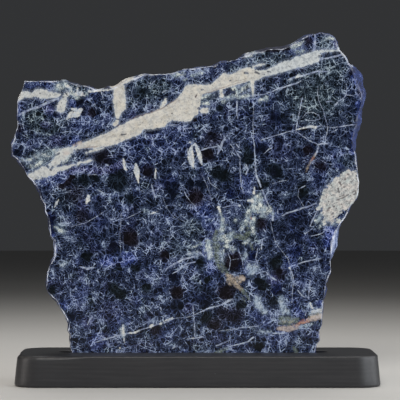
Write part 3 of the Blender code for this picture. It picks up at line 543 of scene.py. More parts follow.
class Nodes:
    """A node tree, and short ways to add to it."""

    def __init__(self, tree):
        self.tree = tree

    def plug(self, socket, value):
        """Join a socket to another, or set it."""
        if isinstance(value, bpy.types.NodeSocket):
            self.tree.links.new(value, socket)
        else:
            socket.default_value = value

    def add(self, kind, inputs=None, **settings):
        """A node with its settings made and its inputs joined or set."""
        made = self.tree.nodes.new("ShaderNode" + kind)
        for name, value in settings.items():
            setattr(made, name, value)
        for name, value in (inputs or {}).items():
            self.plug(made.inputs[name], value)
        return made

    def use(self, group, inputs):
        """The outputs of a group placed in this tree."""
        return self.add("Group", inputs, node_tree=group.tree).outputs

    def calc(self, operation, *values):
        """The result of a Math node."""
        return self.add("Math", dict(enumerate(values)), operation=operation).outputs[0]

    def plus(self, first, second):
        return self.calc("ADD", first, second)

    def minus(self, first, second):
        return self.calc("SUBTRACT", first, second)

    def times(self, first, second):
        return self.calc("MULTIPLY", first, second)

    def times_plus(self, value, factor, extra):
        return self.calc("MULTIPLY_ADD", value, factor, extra)

    def over(self, value, divisor):
        return self.calc("DIVIDE", value, divisor)

    def most(self, first, second):
        return self.calc("MAXIMUM", first, second)

    def least(self, first, second):
        return self.calc("MINIMUM", first, second)

    def from_half(self, value):
        """How far a noise is from its middle value."""
        return self.calc("ABSOLUTE", self.minus(value, 0.5))

    def length(self, x, z):
        """The length of a two-part step."""
        return self.calc("SQRT", self.times_plus(x, x, self.times(z, z)))

    def clamped(self, value, most=1.0):
        return self.add("Clamp", {"Value": value, "Max": most}).outputs[0]

    def scaled(self, vector, factor):
        """A vector times a number."""
        return self.add("VectorMath", {0: vector, "Scale": factor}, operation="SCALE").outputs[0]

    def parts(self, vector):
        return self.add("SeparateXYZ", {"Vector": vector}).outputs

    def channels(self, colour):
        return self.add("SeparateColor", {"Color": colour}).outputs

    def attribute(self, name):
        """A value kept on the mesh's points."""
        return self.add("Attribute", attribute_name=name, attribute_type="GEOMETRY").outputs["Fac"]

    def place_in_mm(self):
        """Where a point of the object is, in mm."""
        return self.scaled(self.add("TexCoord").outputs["Object"], 1.0 / MM)

    def spread(self, value, low, high, to_low=0.0, to_high=1.0):
        """Value taken smoothly from the range low to high into another range."""
        inputs = {"Value": value, "From Min": low, "From Max": high, "To Min": to_low,
                  "To Max": to_high}
        made = self.add("MapRange", inputs, interpolation_type="SMOOTHSTEP", clamp=False)
        return made.outputs[0]

    def mix(self, share, under, over):
        """Over laid on under, by the share."""
        return self.add("Mix", {0: share, 6: under, 7: over}, data_type="RGBA").outputs[2]

    def shades(self, value, steps, colours):
        """The colour of a ramp at the value."""
        ramp = self.add("ValToRGB", {"Fac": value})
        elements = ramp.color_ramp.elements
        while len(elements) < len(steps):
            elements.new(0.5)
        for element, step, colour in zip(elements, steps, colours):
            element.position = step
            element.color = tone(*colour)
        return ramp.outputs[0]

    def grains(self, place, size, detail=2.0, roughness=0.5, distortion=0.0):
        """A Noise's value and colour; its lumps are about size across, in the place's units."""
        inputs = {"Vector": place, "Scale": 1.0 / size, "Detail": detail,
                  "Roughness": roughness, "Distortion": distortion}
        return self.add("TexNoise", inputs).outputs

    def grain(self, *shape):
        """A Noise's value."""
        return self.grains(*shape)[0]

    def cells(self, place, size, feature="F1"):
        """A Voronoi's outputs; its cells are about size across."""
        return self.add("TexVoronoi", {"Vector": place, "Scale": 1.0 / size}, feature=feature).outputs

    def leaning(self, place, lean, stretch):
        """The place drawn out along a lean in degrees, up to the right across the face."""
        inputs = {"Vector": place, "Rotation": (0.0, -math.radians(lean), 0.0),
                  "Scale": (stretch, 1.0, 1.0)}
        return self.add("Mapping", inputs, vector_type="TEXTURE").outputs[0]

    def bent(self, place, size, reach, detail=2.0):
        """The place pushed about by noise of a given size, up to about the reach."""
        push = self.grains(place, size, detail)[1]
        push = self.add("VectorMath", {0: push, 1: (0.5, 0.5, 0.5)}, operation="SUBTRACT").outputs[0]
        push = self.scaled(push, 2.0 * reach)
        return self.add("VectorMath", {0: place, 1: push}, operation="ADD").outputs[0]

    def bump(self, height, strength, distance):
        """A Bump node's normal."""
        inputs = {"Height": height, "Strength": strength, "Distance": distance * MM}
        return self.add("Bump", inputs).outputs[0]


def new_group(name, inputs, outputs):
    """The nodes of a new shader group, with its input sockets and its output sockets."""
    group = bpy.data.node_groups.new(name, "ShaderNodeTree")
    for way, sockets in (("INPUT", inputs), ("OUTPUT", outputs)):
        for label, kind in sockets:
            group.interface.new_socket(label, in_out=way, socket_type="NodeSocket" + kind)
    given = group.nodes.new("NodeGroupInput").outputs
    gives = group.nodes.new("NodeGroupOutput").inputs
    return Nodes(group), given, gives


def floats(*names):
    """Number sockets by their names."""
    return [(name, "Float") for name in names]


# ---------------------------------------------------------------- groups for the marks

LINE_SHAPE = ("Start x", "Start z", "End x", "End z", "Start width", "End width")
SPOT_SHAPE = ("Middle x", "Middle z", "Radius")
FIELD_CORE = 0.25            # the share of a field's width that has its full strength
FIELD_REACH = 1.25           # a field fades out this far past its stated half width


def turned(n, given, way_x, way_z, shift):
    """A place's distance along a direction, less a shift."""
    part = n.times_plus(given["Z"], way_z, n.times(shift, -1.0))
    return n.times_plus(given["X"], way_x, part)


def from_line(n, given):
    """How far a place is from a line, and the line's half width beside it."""
    x, z = given["Start x"], given["Start z"]
    run_x = n.minus(given["End x"], x)
    run_z = n.minus(given["End z"], z)
    reach = n.length(run_x, run_z)
    way_x = n.over(run_x, reach)
    way_z = n.over(run_z, reach)
    back_z = n.times(way_z, -1.0)
    growth = n.over(n.minus(given["End width"], given["Start width"]), reach)
    along = turned(n, given, way_x, way_z, n.times_plus(x, way_x, n.times(z, way_z)))
    across = turned(n, given, back_z, way_x, n.times_plus(x, back_z, n.times(z, way_x)))
    within = n.clamped(along, reach)
    away = n.length(n.minus(along, within), across)
    return away, n.times_plus(within, growth, given["Start width"])


def from_spot(n, given):
    """How far a place is from the middle of a spot, and the spot's radius."""
    away = n.length(n.minus(given["X"], given["Middle x"]), n.minus(given["Z"], given["Middle z"]))
    return away, given["Radius"]


def make_mark(name, shape, measure):
    """A hard mark; Inside is the depth within it, and is negative outside."""
    n, given, gives = new_group(name, floats("X", "Z", *shape), floats("Inside"))
    away, width = measure(n, given)
    n.plug(gives["Inside"], n.minus(width, away))
    return n


def make_field(name, shape, measure):
    """A soft field; Amount is its strength inside, and fades to 0 at its width."""
    n, given, gives = new_group(name, floats("X", "Z", *shape, "Strength"), floats("Amount"))
    away, width = measure(n, given)
    core = n.times(width, FIELD_CORE)
    n.plug(gives["Amount"], n.spread(away, width, core, 0.0, given["Strength"]))
    return n


MARK_GROUPS = (make_mark("stroke", LINE_SHAPE, from_line), make_mark("spot", SPOT_SHAPE, from_spot))
FIELD_GROUPS = (make_field("field", LINE_SHAPE, from_line),
                make_field("round field", SPOT_SHAPE, from_spot))


def most_of(name, output, lines, groups):
    """A group that gives the most of its lines; each has its points and its other inputs."""
    n, given, gives = new_group(name, floats("X", "Z"), floats(output))
    most = None
    for points, others in lines:
        for start, end in zip(points, points[1:] or points):
            shape = dict(zip(SPOT_SHAPE, start))
            if start is not end:
                shape = dict(zip(LINE_SHAPE, (*start[:2], *end[:2], start[2], end[2])))
            group = groups[1] if start is end else groups[0]
            made = n.use(group, {"X": given["X"], "Z": given["Z"], **shape, **others})[0]
            most = made if most is None else n.most(most, made)
    n.plug(gives[output], most)
    return n


def make_kind(kind):
    """All the soft fields of one kind."""
    lines = [([(x, z, width * FIELD_REACH) for x, z, width in points], {"Strength": strength})
             for strength, rows in FIELDS[kind].items() for points in rows]
    return most_of(kind + " fields", "Amount", lines, FIELD_GROUPS)


KIND_GROUPS = {kind: make_kind(kind) for kind in KINDS}
DRAWINGS = {name: most_of(name, "Inside", [(points, {}) for points in lines], MARK_GROUPS)
            for name, lines in (
                ("cream", CREAM_LINES), ("white", WHITE_LINES), ("pale lines", PALE_LINES),
                ("clouds", CLOUD_LINES), ("patch", PATCH_LINES), ("patch wedge", PATCH_WEDGE),
                ("patch specks", PATCH_SPECKS), ("holes", VEIN_HOLES), ("rust", RUST_LINES),
                ("seams", SEAM_LINES), ("pink", PINK_LINES), ("tan", TAN_LINES),
                ("pale green", GREEN_LINES))}


def fields(n, x, z):
    """The stone's six soft fields, each as one amount."""
    totals = [None] * 6
    for kind, shares in KINDS.items():
        amount = n.use(KIND_GROUPS[kind], {"X": x, "Z": z})[0]
        for index, share in enumerate(shares):
            if share:
                part = n.times(amount, share)
                total = totals[index]
                totals[index] = part if total is None else n.most(total, part)
    return totals


BAND_LEFT, BAND_WIDTH = -150.0, 290.0
BAND_BOTTOM, BAND_HEIGHT = 150.0, 130.0
BAND_LEAN = 0.9              # a band's height above its edge, as a distance across it


def edge_line(n, along, points):
    """The height of an edge above each X, in mm, from a Float Curve."""
    made = n.add("FloatCurve", {"Value": along})
    curve = made.mapping.curves[0]
    spots = [((x - BAND_LEFT) / BAND_WIDTH, (z - BAND_BOTTOM) / BAND_HEIGHT) for x, z in points]
    while len(curve.points) < len(spots):
        curve.points.new(0.5, 0.5)
    for point, spot in zip(curve.points, spots):
        point.location = spot
        point.handle_type = "VECTOR"
    made.mapping.update()
    return n.times_plus(made.outputs[0], BAND_HEIGHT, BAND_BOTTOM)


def band(n, x, z, edges):
    """How deep a place is between an upper and a lower edge, in mm."""
    upper, lower = edges
    along = n.over(n.minus(x, BAND_LEFT), BAND_WIDTH)
    below = n.minus(edge_line(n, along, upper), z)
    above = n.minus(z, edge_line(n, along, lower))
    ends = n.least(n.minus(x, upper[0][0]), n.minus(upper[-1][0], x))
    return n.least(n.times(n.least(below, above), BAND_LEAN), ends)


# ---------------------------------------------------------------- shared surface groups

# The stone from its darkest cells to its palest veil, in each of its hues.
HUE_STEPS = (0.0, 0.20, 0.42, 0.60, 0.78, 1.0)
HUES = {
    "Slate": [(3, 5, 13), (9, 15, 29), (34, 43, 66), (64, 75, 103), (99, 111, 138), (152, 165, 186)],
    "Blue": [(4, 7, 24), (12, 20, 52), (34, 47, 95), (62, 76, 134), (94, 109, 164), (150, 160, 205)],
    "Green": [(4, 7, 8), (12, 19, 22), (38, 49, 58), (68, 81, 90), (104, 119, 127), (158, 172, 174)],
    "Violet": [(9, 8, 22), (20, 20, 43), (46, 49, 84), (76, 80, 124), (108, 113, 154), (156, 162, 194)],
    "Brown": [(7, 5, 8), (17, 14, 19), (43, 39, 51), (72, 68, 82), (103, 100, 115), (152, 150, 162)],
}
HUE_DRIFTS = (("Blue", 0.36), ("Green", 0.60), ("Violet", 0.32), ("Brown", None))
LACE_CELL = 4.2
# Each net of the lace: its cell size in mm, where its lines begin and are full as a share
# of that, and how weak and how strong they get.
LACE = [(LACE_CELL, 0.105, 0.035, 0.36, 0.78), (2.4, 0.15, 0.05, 0.14, 0.60),
        (9.5, 0.048, 0.015, 0.30, 0.90)]
STRAIGHT_NET = (13.0, 0.030, 0.010)
FIBRES = [(19, 9.0), (-62, 7.0), (75, 8.0)]   # the lean of each set of fibres, and their size in mm
FIBRE_STRETCH, FIBRE_STRENGTH = 3.2, 0.55
BASE_PALENESS = 0.05
GRAIN_STRENGTH, LIFT_STRENGTH = 0.84, 0.30
HOLE_DEPTH, LACE_LOSS = 0.90, 0.56     # how far a hole sinks the stone, and thins its lace


def make_lace(n, place, ragged, haze, grain):
    """The pale lace: bent nets of three sizes, fibres and one straight net."""
    glow = n.channels(n.grains(place, 5.0, 2.0, 0.6)[1])
    lace = None
    for index, (size, wide, thin, weakest, strongest) in enumerate(LACE):
        line = n.spread(n.cells(ragged, size, "DISTANCE_TO_EDGE")[0], wide, thin)
        line = n.times(line, n.spread(glow[index], 0.38, 0.64, weakest, strongest))
        lace = line if lace is None else n.most(lace, line)
    lace = n.times(lace, n.spread(grain, 0.34, 0.62, 0.72, 1.14))
    for lean, size in FIBRES:
        wave = n.grain(n.leaning(place, lean, FIBRE_STRETCH), size, 2.0, 0.5, 0.3)
        lace = n.most(lace, n.times(n.spread(n.from_half(wave), 0.009, 0.001), FIBRE_STRENGTH))
    size, wide, thin = STRAIGHT_NET
    line = n.spread(n.cells(place, size, "DISTANCE_TO_EDGE")[0], wide, thin)
    return n.most(lace, n.times(line, n.spread(haze, 0.36, 0.58, 0.25, 0.75)))


def make_ground():
    """The stone between its veins: dark cells in a pale lace, with fibres and haze."""
    inputs = [("Place", "Vector"), ("Bent place", "Vector")]
    inputs += floats("Lift", "Sink", "Blue", "Green", "Violet", "Brown")
    n, given, gives = new_group("sodalite ground", inputs, [("Colour", "Color")])
    place, ragged = given["Place"], given["Bent place"]
    haze = n.grain(ragged, 8.0, 4.0, 0.6)
    grain = n.grain(place, 1.0, 2.0, 0.6)

    # Haze and grain, lifted by the fields and sunk in the dark holes, cell by cell.
    hole = n.spread(given["Sink"], 0.10, 0.62)
    value = n.plus(n.spread(haze, 0.44, 0.76, 0.0, 0.20),
                   n.times_plus(grain, GRAIN_STRENGTH, BASE_PALENESS - GRAIN_STRENGTH / 2))
    value = n.times_plus(given["Lift"], LIFT_STRENGTH, value)
    value = n.times(value, n.times_plus(hole, -HOLE_DEPTH, 1.0))
    cell = n.channels(n.cells(ragged, LACE_CELL)["Color"])[0]
    value = n.times(value, n.spread(cell, 0.10, 0.80, 0.50, 1.16))
    # The lace over it, which is weaker where the haze is thin and in the holes.
    dense = n.times(n.spread(haze, 0.34, 0.62, 0.65, 1.10), n.times_plus(hole, -LACE_LOSS, 1.0))
    value = n.times_plus(make_lace(n, place, ragged, haze, grain), dense, value)

    drift = n.channels(n.grains(place, 14.0, 3.0, 0.6)[1])
    colour = n.shades(value, HUE_STEPS, HUES["Slate"])
    for index, (hue, most) in enumerate(HUE_DRIFTS):
        share = given[hue]
        if most:
            share = n.most(share, n.spread(drift[index], 0.52, 0.74, 0.0, most))
        colour = n.mix(share, colour, n.shades(value, HUE_STEPS, HUES[hue]))
    n.plug(gives["Colour"], colour)
    return n


def make_dust():
    """Fine pale specks and faint scratches, as handling leaves on stone and on wood."""
    n, given, gives = new_group("dust and scratches", [("Place", "Vector"), ("Amount", "Float")],
                                floats("Specks", "Scratches"))
    scatter = n.cells(given["Place"], 5.0)
    chosen = n.calc("GREATER_THAN", n.channels(scatter["Color"])[0], 0.72)
    specks = n.times(n.spread(scatter["Distance"], 0.07, 0.02), chosen)
    drawn_out = n.add("Mapping", {"Vector": given["Place"], "Rotation": (0.3, 0.5, 0.2),
                                  "Scale": (0.06, 1.0, 1.0)}).outputs[0]
    scratches = n.spread(n.from_half(n.grain(drawn_out, 1.6, 1.0)), 0.012, 0.0)
    n.plug(gives["Specks"], n.times(specks, given["Amount"]))
    n.plug(gives["Scratches"], n.times(scratches, given["Amount"]))
    return n


GROUND = make_ground()
DUST = make_dust()

# ---------------------------------------------------------------- materials

CELL_SNAP = 0.55             # how far the soft fields follow the cells of the lace
VEIN_SLANT = (0.22, -0.30)   # how far the marks shift with depth, along X and along Z
RIM_BLUE, RIM_SINK = 0.55, 0.38        # the rim's fields, where the stone is broken
# Where a change comes in, in mm: each pair runs from none of it to all of it.
SAWN_BACK = (9.6, 9.9)                 # the Y of the sawn back
THIN_LEFT, THIN_BELOW = (-84.0, -108.0), (214.0, 200.0)   # the X and Z of the thinned vein
COOL_RIGHT, COOL_LEFT = (42.0, 66.0), (-84.0, -104.0)     # the X of the cooler cream
LOW_BREAK = ((97.0, 103.0), (127.0, 121.0))               # the Z of the pale low break
FRESH_SIDE = (70.0, 112.0)             # the X over which the fresh blue deepens
BACK_EDGE = (3.0, 8.5)                 # the Y of the rim's paler back edge
CALM_SIDE = (116.0, 121.0)             # the X past which the pale arris of bruising and painted highlight is quiet,
CALM_HEIGHTS = ((172.0, 186.0), (258.0, 250.0))           # and the Z between which it is
TONES = {
    "cloud veil": (108, 124, 144),
    "patch veil": (116, 128, 152),
    "patch speck": (84, 76, 78),
    "vein halo": (150, 160, 180),
    "vein hole": (42, 44, 54),
    "seam": (112, 88, 82),
    "pink": (186, 172, 164),
    "low break": (156, 168, 196),
    "fresh break": (26, 46, 102),
    "back edge": (134, 150, 186),
    # the pale arris: bruising and a painted highlight
    "bruise_and_highlight": (206, 210, 222),
    "rim dust": (128, 134, 148),
    "dust": (205, 208, 214),
}
# The noises that the marks share: size in mm, detail, roughness, and a lean and stretch.
WAVES = {
    "grit": (1.3, 3.0, 0.65),
    "lumps": (5.0, 3.0, 0.6),
    "frays": (3.2, 4.0, 0.72),
    "fine": (1.5, 2.0, 0.7),
    "chalk": (8.0, 4.0, 0.7),
    "crumb": (0.9, 4.0, 0.65),
    "cracks": (3.4, 3.0, 0.6, 70.0, 1.8),
    "bits": (1.7, 3.0, 0.7, 38.0, 1.8),
    "streaks": (2.2, 4.0, 0.7, 20.0, 2.4),
}
# Each mark: whether it runs straight, how ragged its edge is, the size of that, how soft
# the edge is and how far it is shifted, all in mm.
MARKS = {
    "pale lines": (True, 0.50, 1.4, 0.26, -0.17),
    "white": (True, 1.10, 1.4, 0.42, -0.12),
    "seams": (True, 0.45, 1.6, 0.4, -0.15),
    "holes": (False, 0.35, 1.6, 0.35, 0.0),
    "patch wedge": (False, 0.4, 2.0, 0.5, 0.0),
    "patch specks": (False, 0.5, 1.2, 0.35, 0.0),
    "pink": (False, 1.2, 2.0, 1.0, 0.0),
    "tan": (False, 1.6, 2.2, 1.1, 0.0),
    "pale green": (False, 1.5, 2.2, 1.0, 0.0),
    "rust": (False, 0.8, 2.2, 0.8, 0.0),
}
# Each stain's strength, and the two colours between which it varies.
STAINS = {
    "tan": (0.92, (88, 82, 78), (172, 157, 139)),
    "pale green": (0.74, (58, 67, 64), (122, 132, 122)),
    "rust": (0.72, (120, 84, 78), (178, 122, 102)),
}
# Each finish: how far its two colours mix with the lumps, those colours, and its tints. A
# tint is a noise, the range over which it comes in, or None for all of it, its strength
# and its colour.
ALL = (None, None)
FINISHES = {
    "pale lines": ((0.35, 0.65), (124, 134, 164), (176, 185, 200), []),
    "clouds": ((0.42, 0.60), (156, 170, 180), (214, 218, 210), [
        ("fine", (0.48, 0.60), 0.75, (112, 124, 134)),
        ("grit", (0.42, 0.32), 0.8, (70, 80, 92)),
        ("z", (112.0, 98.0), 0.55, (142, 158, 184)),
        ("cracks", ALL, 0.88, (66, 76, 88))]),
    "patch": ((0.35, 0.65), (180, 186, 184), (198, 191, 185), [
        ("bits", (0.54, 0.34), 0.9, (118, 118, 120)),
        ("frays", (0.50, 0.36), 0.7, (132, 136, 140)),
        ("fine", (0.56, 0.70), 0.6, (204, 204, 200)),
        ("cracks", ALL, 0.35, (96, 94, 96))]),
    "cream": ((0.32, 0.66), (184, 177, 165), (194, 192, 187), [
        ("streaks", (0.44, 0.66), 0.8, (206, 201, 190)),
        ("streaks", (0.46, 0.30), 0.8, (158, 153, 143)),
        ("cool", ALL, 0.7, (186, 193, 197)),
        ("flecks", ALL, 1.0, (122, 128, 136)),
        ("veins", (1.4, -0.4), 0.6, (178, 186, 192)),
        ("grit", (0.41, 0.30), 0.8, (104, 102, 104))]),
    "white": ((0.4, 0.6), (184, 191, 200), (204, 202, 195), [
        ("fine", (0.52, 0.36), 0.7, (138, 146, 156))]),
}


class Stone(Nodes):
    """The stone's colour as it is built up, with the places and noises its layers share."""

    def __init__(self, tree):
        super().__init__(tree)
        self.place = self.place_in_mm()
        x, y, z = self.parts(self.place)
        depth = self.plus(y, SLAB_HALF / MM)
        face_place = self.add("CombineXYZ", {"X": self.times_plus(depth, VEIN_SLANT[0], x),
                                             "Z": self.times_plus(depth, VEIN_SLANT[1], z)})
        straight = self.bent(face_place.outputs[0], 6.0, 0.5, 1.0)
        self.straight = self.parts(straight)
        self.wavy = self.parts(self.bent(straight, 1.7, 0.4, 1.0))
        self.broken = self.attribute("broken")
        self.sawn = self.spread(y, *SAWN_BACK)
        self.waves = {"x": x, "y": y, "z": z}
        for name, (size, detail, roughness, *way) in WAVES.items():
            where = self.leaning(self.place, *way) if way else self.place
            self.waves[name] = self.grain(where, size, detail, roughness)
        self.waves["cracks"] = self.spread(self.from_half(self.waves["cracks"]), 0.042, 0.008)
        # These are filled in as the layers are laid on.
        self.colour = self.ground = self.cream = self.patch = self.patch_share = None

    def wave(self, name, low, high, to_low=0.0, to_high=1.0):
        """One of the shared noises, taken smoothly from one range into another."""
        return self.spread(self.waves[name], low, high, to_low, to_high)

    def lay(self, share, colour):
        """Lay a colour, or one of the named tones, over the stone's."""
        if isinstance(colour, str):
            colour = tone(*TONES[colour])
        self.colour = self.mix(share, self.colour, colour)

    def finish(self, name):
        """The colour of one of the finishes."""
        ends, dull, bright, tints = FINISHES[name]
        colour = self.mix(self.wave("lumps", *ends), tone(*dull), tone(*bright))
        for wave, ends, strength, tint in tints:
            if ends is ALL:
                share = self.times(self.waves[wave], strength)
            else:
                share = self.wave(wave, *ends, 0.0, strength)
            colour = self.mix(share, colour, tone(*tint))
        return colour

    def drawn(self, name, where):
        """How deep a place is inside one of the drawings, in mm."""
        return self.use(DRAWINGS[name], {"X": where[0], "Z": where[2]})[0]

    def edged(self, inside, ragged, size, soft, shift=0.0):
        """A mask from a depth in mm: its edge is ragged, and soft over a given width."""
        wave = self.grain(self.place, size, 3.0, 0.6)
        rough = self.times_plus(wave, 2.0 * ragged, shift - ragged)
        return self.spread(self.plus(inside, rough), -soft, soft)

    def mark(self, name):
        """The mask of one of the marks."""
        is_straight, *edge = MARKS[name]
        where = self.straight if is_straight else self.wavy
        return self.edged(self.drawn(name, where), *edge)

    def frayed(self, name, reach):
        """The depth inside a drawing, frayed by up to the reach."""
        inside = self.plus(self.drawn(name, self.wavy), -reach)
        return self.times_plus(self.waves["frays"], 2.0 * reach, inside)

    def add_ground(self):
        """The dark cells, lace and haze, with the soft fields that shift them."""
        ragged = self.bent(self.bent(self.place, 9.0, 1.7, 0.0), 2.6, 0.16, 1.0)
        cell = self.cells(ragged, LACE_CELL)["Position"]
        snapped = self.add("Mix", {0: CELL_SNAP, 4: self.bent(self.place, 7.0, 0.8), 5: cell},
                           data_type="VECTOR")
        x, _, z = self.parts(snapped.outputs[1])
        lift, sink, blue, green, violet, brown = fields(self, x, z)
        blue = self.most(blue, self.times(self.broken, RIM_BLUE))
        sink = self.most(sink, self.times(self.broken, RIM_SINK))
        self.colour = self.use(GROUND, {
            "Place": self.place, "Bent place": ragged, "Lift": lift, "Sink": sink, "Blue": blue,
            "Green": green, "Violet": violet, "Brown": brown})[0]
        self.ground = self.colour

    def add_pale_lines(self):
        share = self.times(self.mark("pale lines"), self.wave("frays", 0.36, 0.56, 0.35, 0.92))
        self.lay(share, self.finish("pale lines"))

    def add_clouds(self):
        """Greenish-white blotches in a thin veil."""
        cloud = self.frayed("clouds", 3.8)
        self.lay(self.times(self.spread(cloud, -3.0, 2.4), 0.40), "cloud veil")
        specks = self.times_plus(self.waves["fine"], 5.4, -2.5)
        core = self.spread(self.plus(cloud, specks), -0.3, 1.1, 0.0, 0.94)
        self.lay(core, self.finish("clouds"))

    def add_patch(self):
        """The speckled white patch, less its wedge."""
        patch = self.times_plus(self.mark("patch wedge"), -6.0, self.frayed("patch", 4.0))
        self.lay(self.spread(patch, -3.0, 1.0, 0.0, 0.45), "patch veil")
        bits = self.times_plus(self.waves["bits"], 5.0, self.plus(patch, -2.5))
        self.patch_share = self.spread(bits, -0.4, 0.7)
        specks = self.times(self.mark("patch specks"), 0.8)
        speck_tone = tone(*TONES["patch speck"])
        self.lay(self.patch_share, self.mix(specks, self.finish("patch"), speck_tone))
        self.patch = self.spread(patch, 0.0, 1.0)

    def add_stains(self):
        for name, (strength, dull, bright) in STAINS.items():
            stain = self.mix(self.wave("fine", 0.36, 0.62), tone(*dull), tone(*bright))
            mottle = self.wave("grit", 0.34, 0.56, 0.4 * strength, strength)
            self.lay(self.times(self.mark(name), mottle), stain)

    def add_veins(self):
        """The cream veins: flecked, cooler to the right, and thinned out by the left edge."""
        veins = self.most(band(self, self.wavy[0], self.wavy[2], MAIN_VEIN),
                          band(self, self.wavy[0], self.wavy[2], CORNER_VEIN))
        veins = self.most(veins, self.drawn("cream", self.wavy))
        thin = self.times(self.wave("x", *THIN_LEFT), self.wave("z", *THIN_BELOW, 0.1, 0.8))
        veins = self.minus(veins, self.times(thin, self.wave("lumps", 0.46, 0.66, 0.0, 3.0)))
        veins = self.plus(veins, self.times_plus(self.waves["frays"], 3.4, -1.8))
        halo = self.times(self.spread(veins, -2.4, 0.4), self.wave("grit", 0.36, 0.62, 0.15, 0.62))
        self.lay(halo, "vein halo")
        cool = self.most(self.wave("x", *COOL_RIGHT), self.wave("x", *COOL_LEFT, 0.0, 0.6))
        flecks = self.times(self.wave("frays", 0.54, 0.38), self.times_plus(cool, 0.20, 0.42))
        self.waves.update(veins=veins, cool=cool, flecks=flecks)
        self.cream = self.edged(veins, 0.35, 1.1, 0.32)
        self.lay(self.cream, self.finish("cream"))

    def add_small_marks(self):
        """The white lenses, the dark islands in the veins, the seams and the pink stains."""
        white = self.times(self.mark("white"), self.wave("grit", 0.30, 0.50, 0.6, 0.95))
        self.lay(white, self.finish("white"))
        hole = self.mix(0.5, self.ground, tone(*TONES["vein hole"]))
        self.lay(self.times(self.mark("holes"), 0.85), hole)
        self.lay(self.times(self.mark("seams"), 0.62), "seam")
        self.lay(self.times(self.mark("pink"), self.wave("frays", 0.36, 0.56, 0.25, 0.74)), "pink")

    def add_rim(self):
        """The broken rim: deep fresh blue, paler low down and at the back, its arris pale, partly
        bruising and partly a painted highlight.
        """
        low = self.times(self.wave("z", *LOW_BREAK[0]), self.wave("z", *LOW_BREAK[1]))
        low = self.times(low, self.times(self.broken, self.wave("frays", 0.42, 0.56, 0.1, 0.8)))
        self.lay(low, "low break")
        fresh = self.times(self.wave("x", *FRESH_SIDE, 0.20, 0.56),
                           self.wave("frays", 0.40, 0.58, 1.0, 0.35))
        bare = self.minus(self.broken, self.most(self.cream, self.patch_share))
        self.lay(self.clamped(self.times(fresh, bare)), "fresh break")
        back = self.times(self.wave("y", *BACK_EDGE), self.wave("lumps", 0.40, 0.56, 0.2, 0.6))
        self.lay(self.times(back, self.broken), "back edge")

        # The pale arris strip, partly bruising of the stone and partly a painted highlight along its
        # edge; quieter on the right edge between the calm heights.
        calm = self.times(self.wave("x", *CALM_SIDE), self.wave("z", *CALM_HEIGHTS[1]))
        calm = self.times(calm, self.wave("z", *CALM_HEIGHTS[0], 0.0, 0.85))
        chalk = self.times(self.wave("chalk", 0.42, 0.58, 0.08, 1.0), self.minus(1.0, calm))
        rough = self.times_plus(self.waves["grit"], 0.9, -0.45)
        bruised_and_highlit = self.spread(self.plus(self.attribute("bruise_and_highlight"), rough), 0.30, 0.75)
        self.lay(self.times(self.times(bruised_and_highlit, chalk), 0.90), "bruise_and_highlight")
        dusty = self.most(self.times(self.broken, 0.03), self.times(self.sawn, 0.30))
        self.lay(dusty, "rim dust")

    def add_dust(self):
        specks = self.use(DUST, {"Place": self.place, "Amount": 1.0})["Specks"]
        self.lay(self.times(specks, 0.35), "dust")

    def roughness(self):
        """Polished on the face, dull on the sawn back and duller where it is broken."""
        rough = self.most(self.times(self.broken, 0.78), self.times(self.sawn, 0.58))
        soft_marks = self.times(self.most(self.cream, self.patch), 0.08)
        polished = self.plus(self.times_plus(self.waves["grit"], 0.10, 0.15), soft_marks)
        return self.most(rough, polished)

    def relief(self):
        """The height of the broken rim's facets and of the back's saw lines."""
        crumb = self.waves["crumb"]
        facets = self.times(self.cells(self.place, 1.7)["Distance"], 0.6)
        broken_height = self.times(self.plus(crumb, facets), self.broken)
        saw_line = self.add("TexWave", {"Vector": self.place, "Scale": 0.16, "Distortion": 1.2,
                                        "Detail": 2.0, "Detail Scale": 0.4},
                            wave_type="BANDS", bands_direction="Z").outputs[1]
        sawn_height = self.times(self.plus(crumb, self.times(saw_line, 0.5)),
                                 self.times(self.sawn, 0.35))
        return self.plus(broken_height, sawn_height)


def new_material(name):
    """A material, and its Principled BSDF."""
    material = bpy.data.materials.new(name)
    material.use_nodes = True
    return material, material.node_tree.nodes["Principled BSDF"]


def make_stone():
    """Polished sodalite: its ground, its veins and stains, and its broken rim."""
    material, shader = new_material("polished sodalite")
    stone = Stone(material.node_tree)
    stone.add_ground()
    stone.add_pale_lines()
    stone.add_clouds()
    stone.add_patch()
    stone.add_stains()
    stone.add_veins()
    stone.add_small_marks()
    stone.add_rim()
    stone.add_dust()
    stone.plug(shader.inputs["Base Color"], stone.colour)
    stone.plug(shader.inputs["Roughness"], stone.roughness())
    stone.plug(shader.inputs["Normal"], stone.bump(stone.relief(), 0.75, 0.35))
    shader.inputs["IOR"].default_value = 1.48
    shader.inputs["Specular IOR Level"].default_value = 0.34
    return material


WOOD_STRETCH = 0.035         # the grain's length is drawn out by this
RING_MIDDLE = (38.0, 52.0)   # how far behind and below the block the tree's middle lies, in mm
RING_STRETCH = 0.012
WOOD_STEPS = (0.25, 0.55, 0.85)
WOOD_TONES = [(31, 31, 33), (39, 39, 41), (49, 48, 49)]


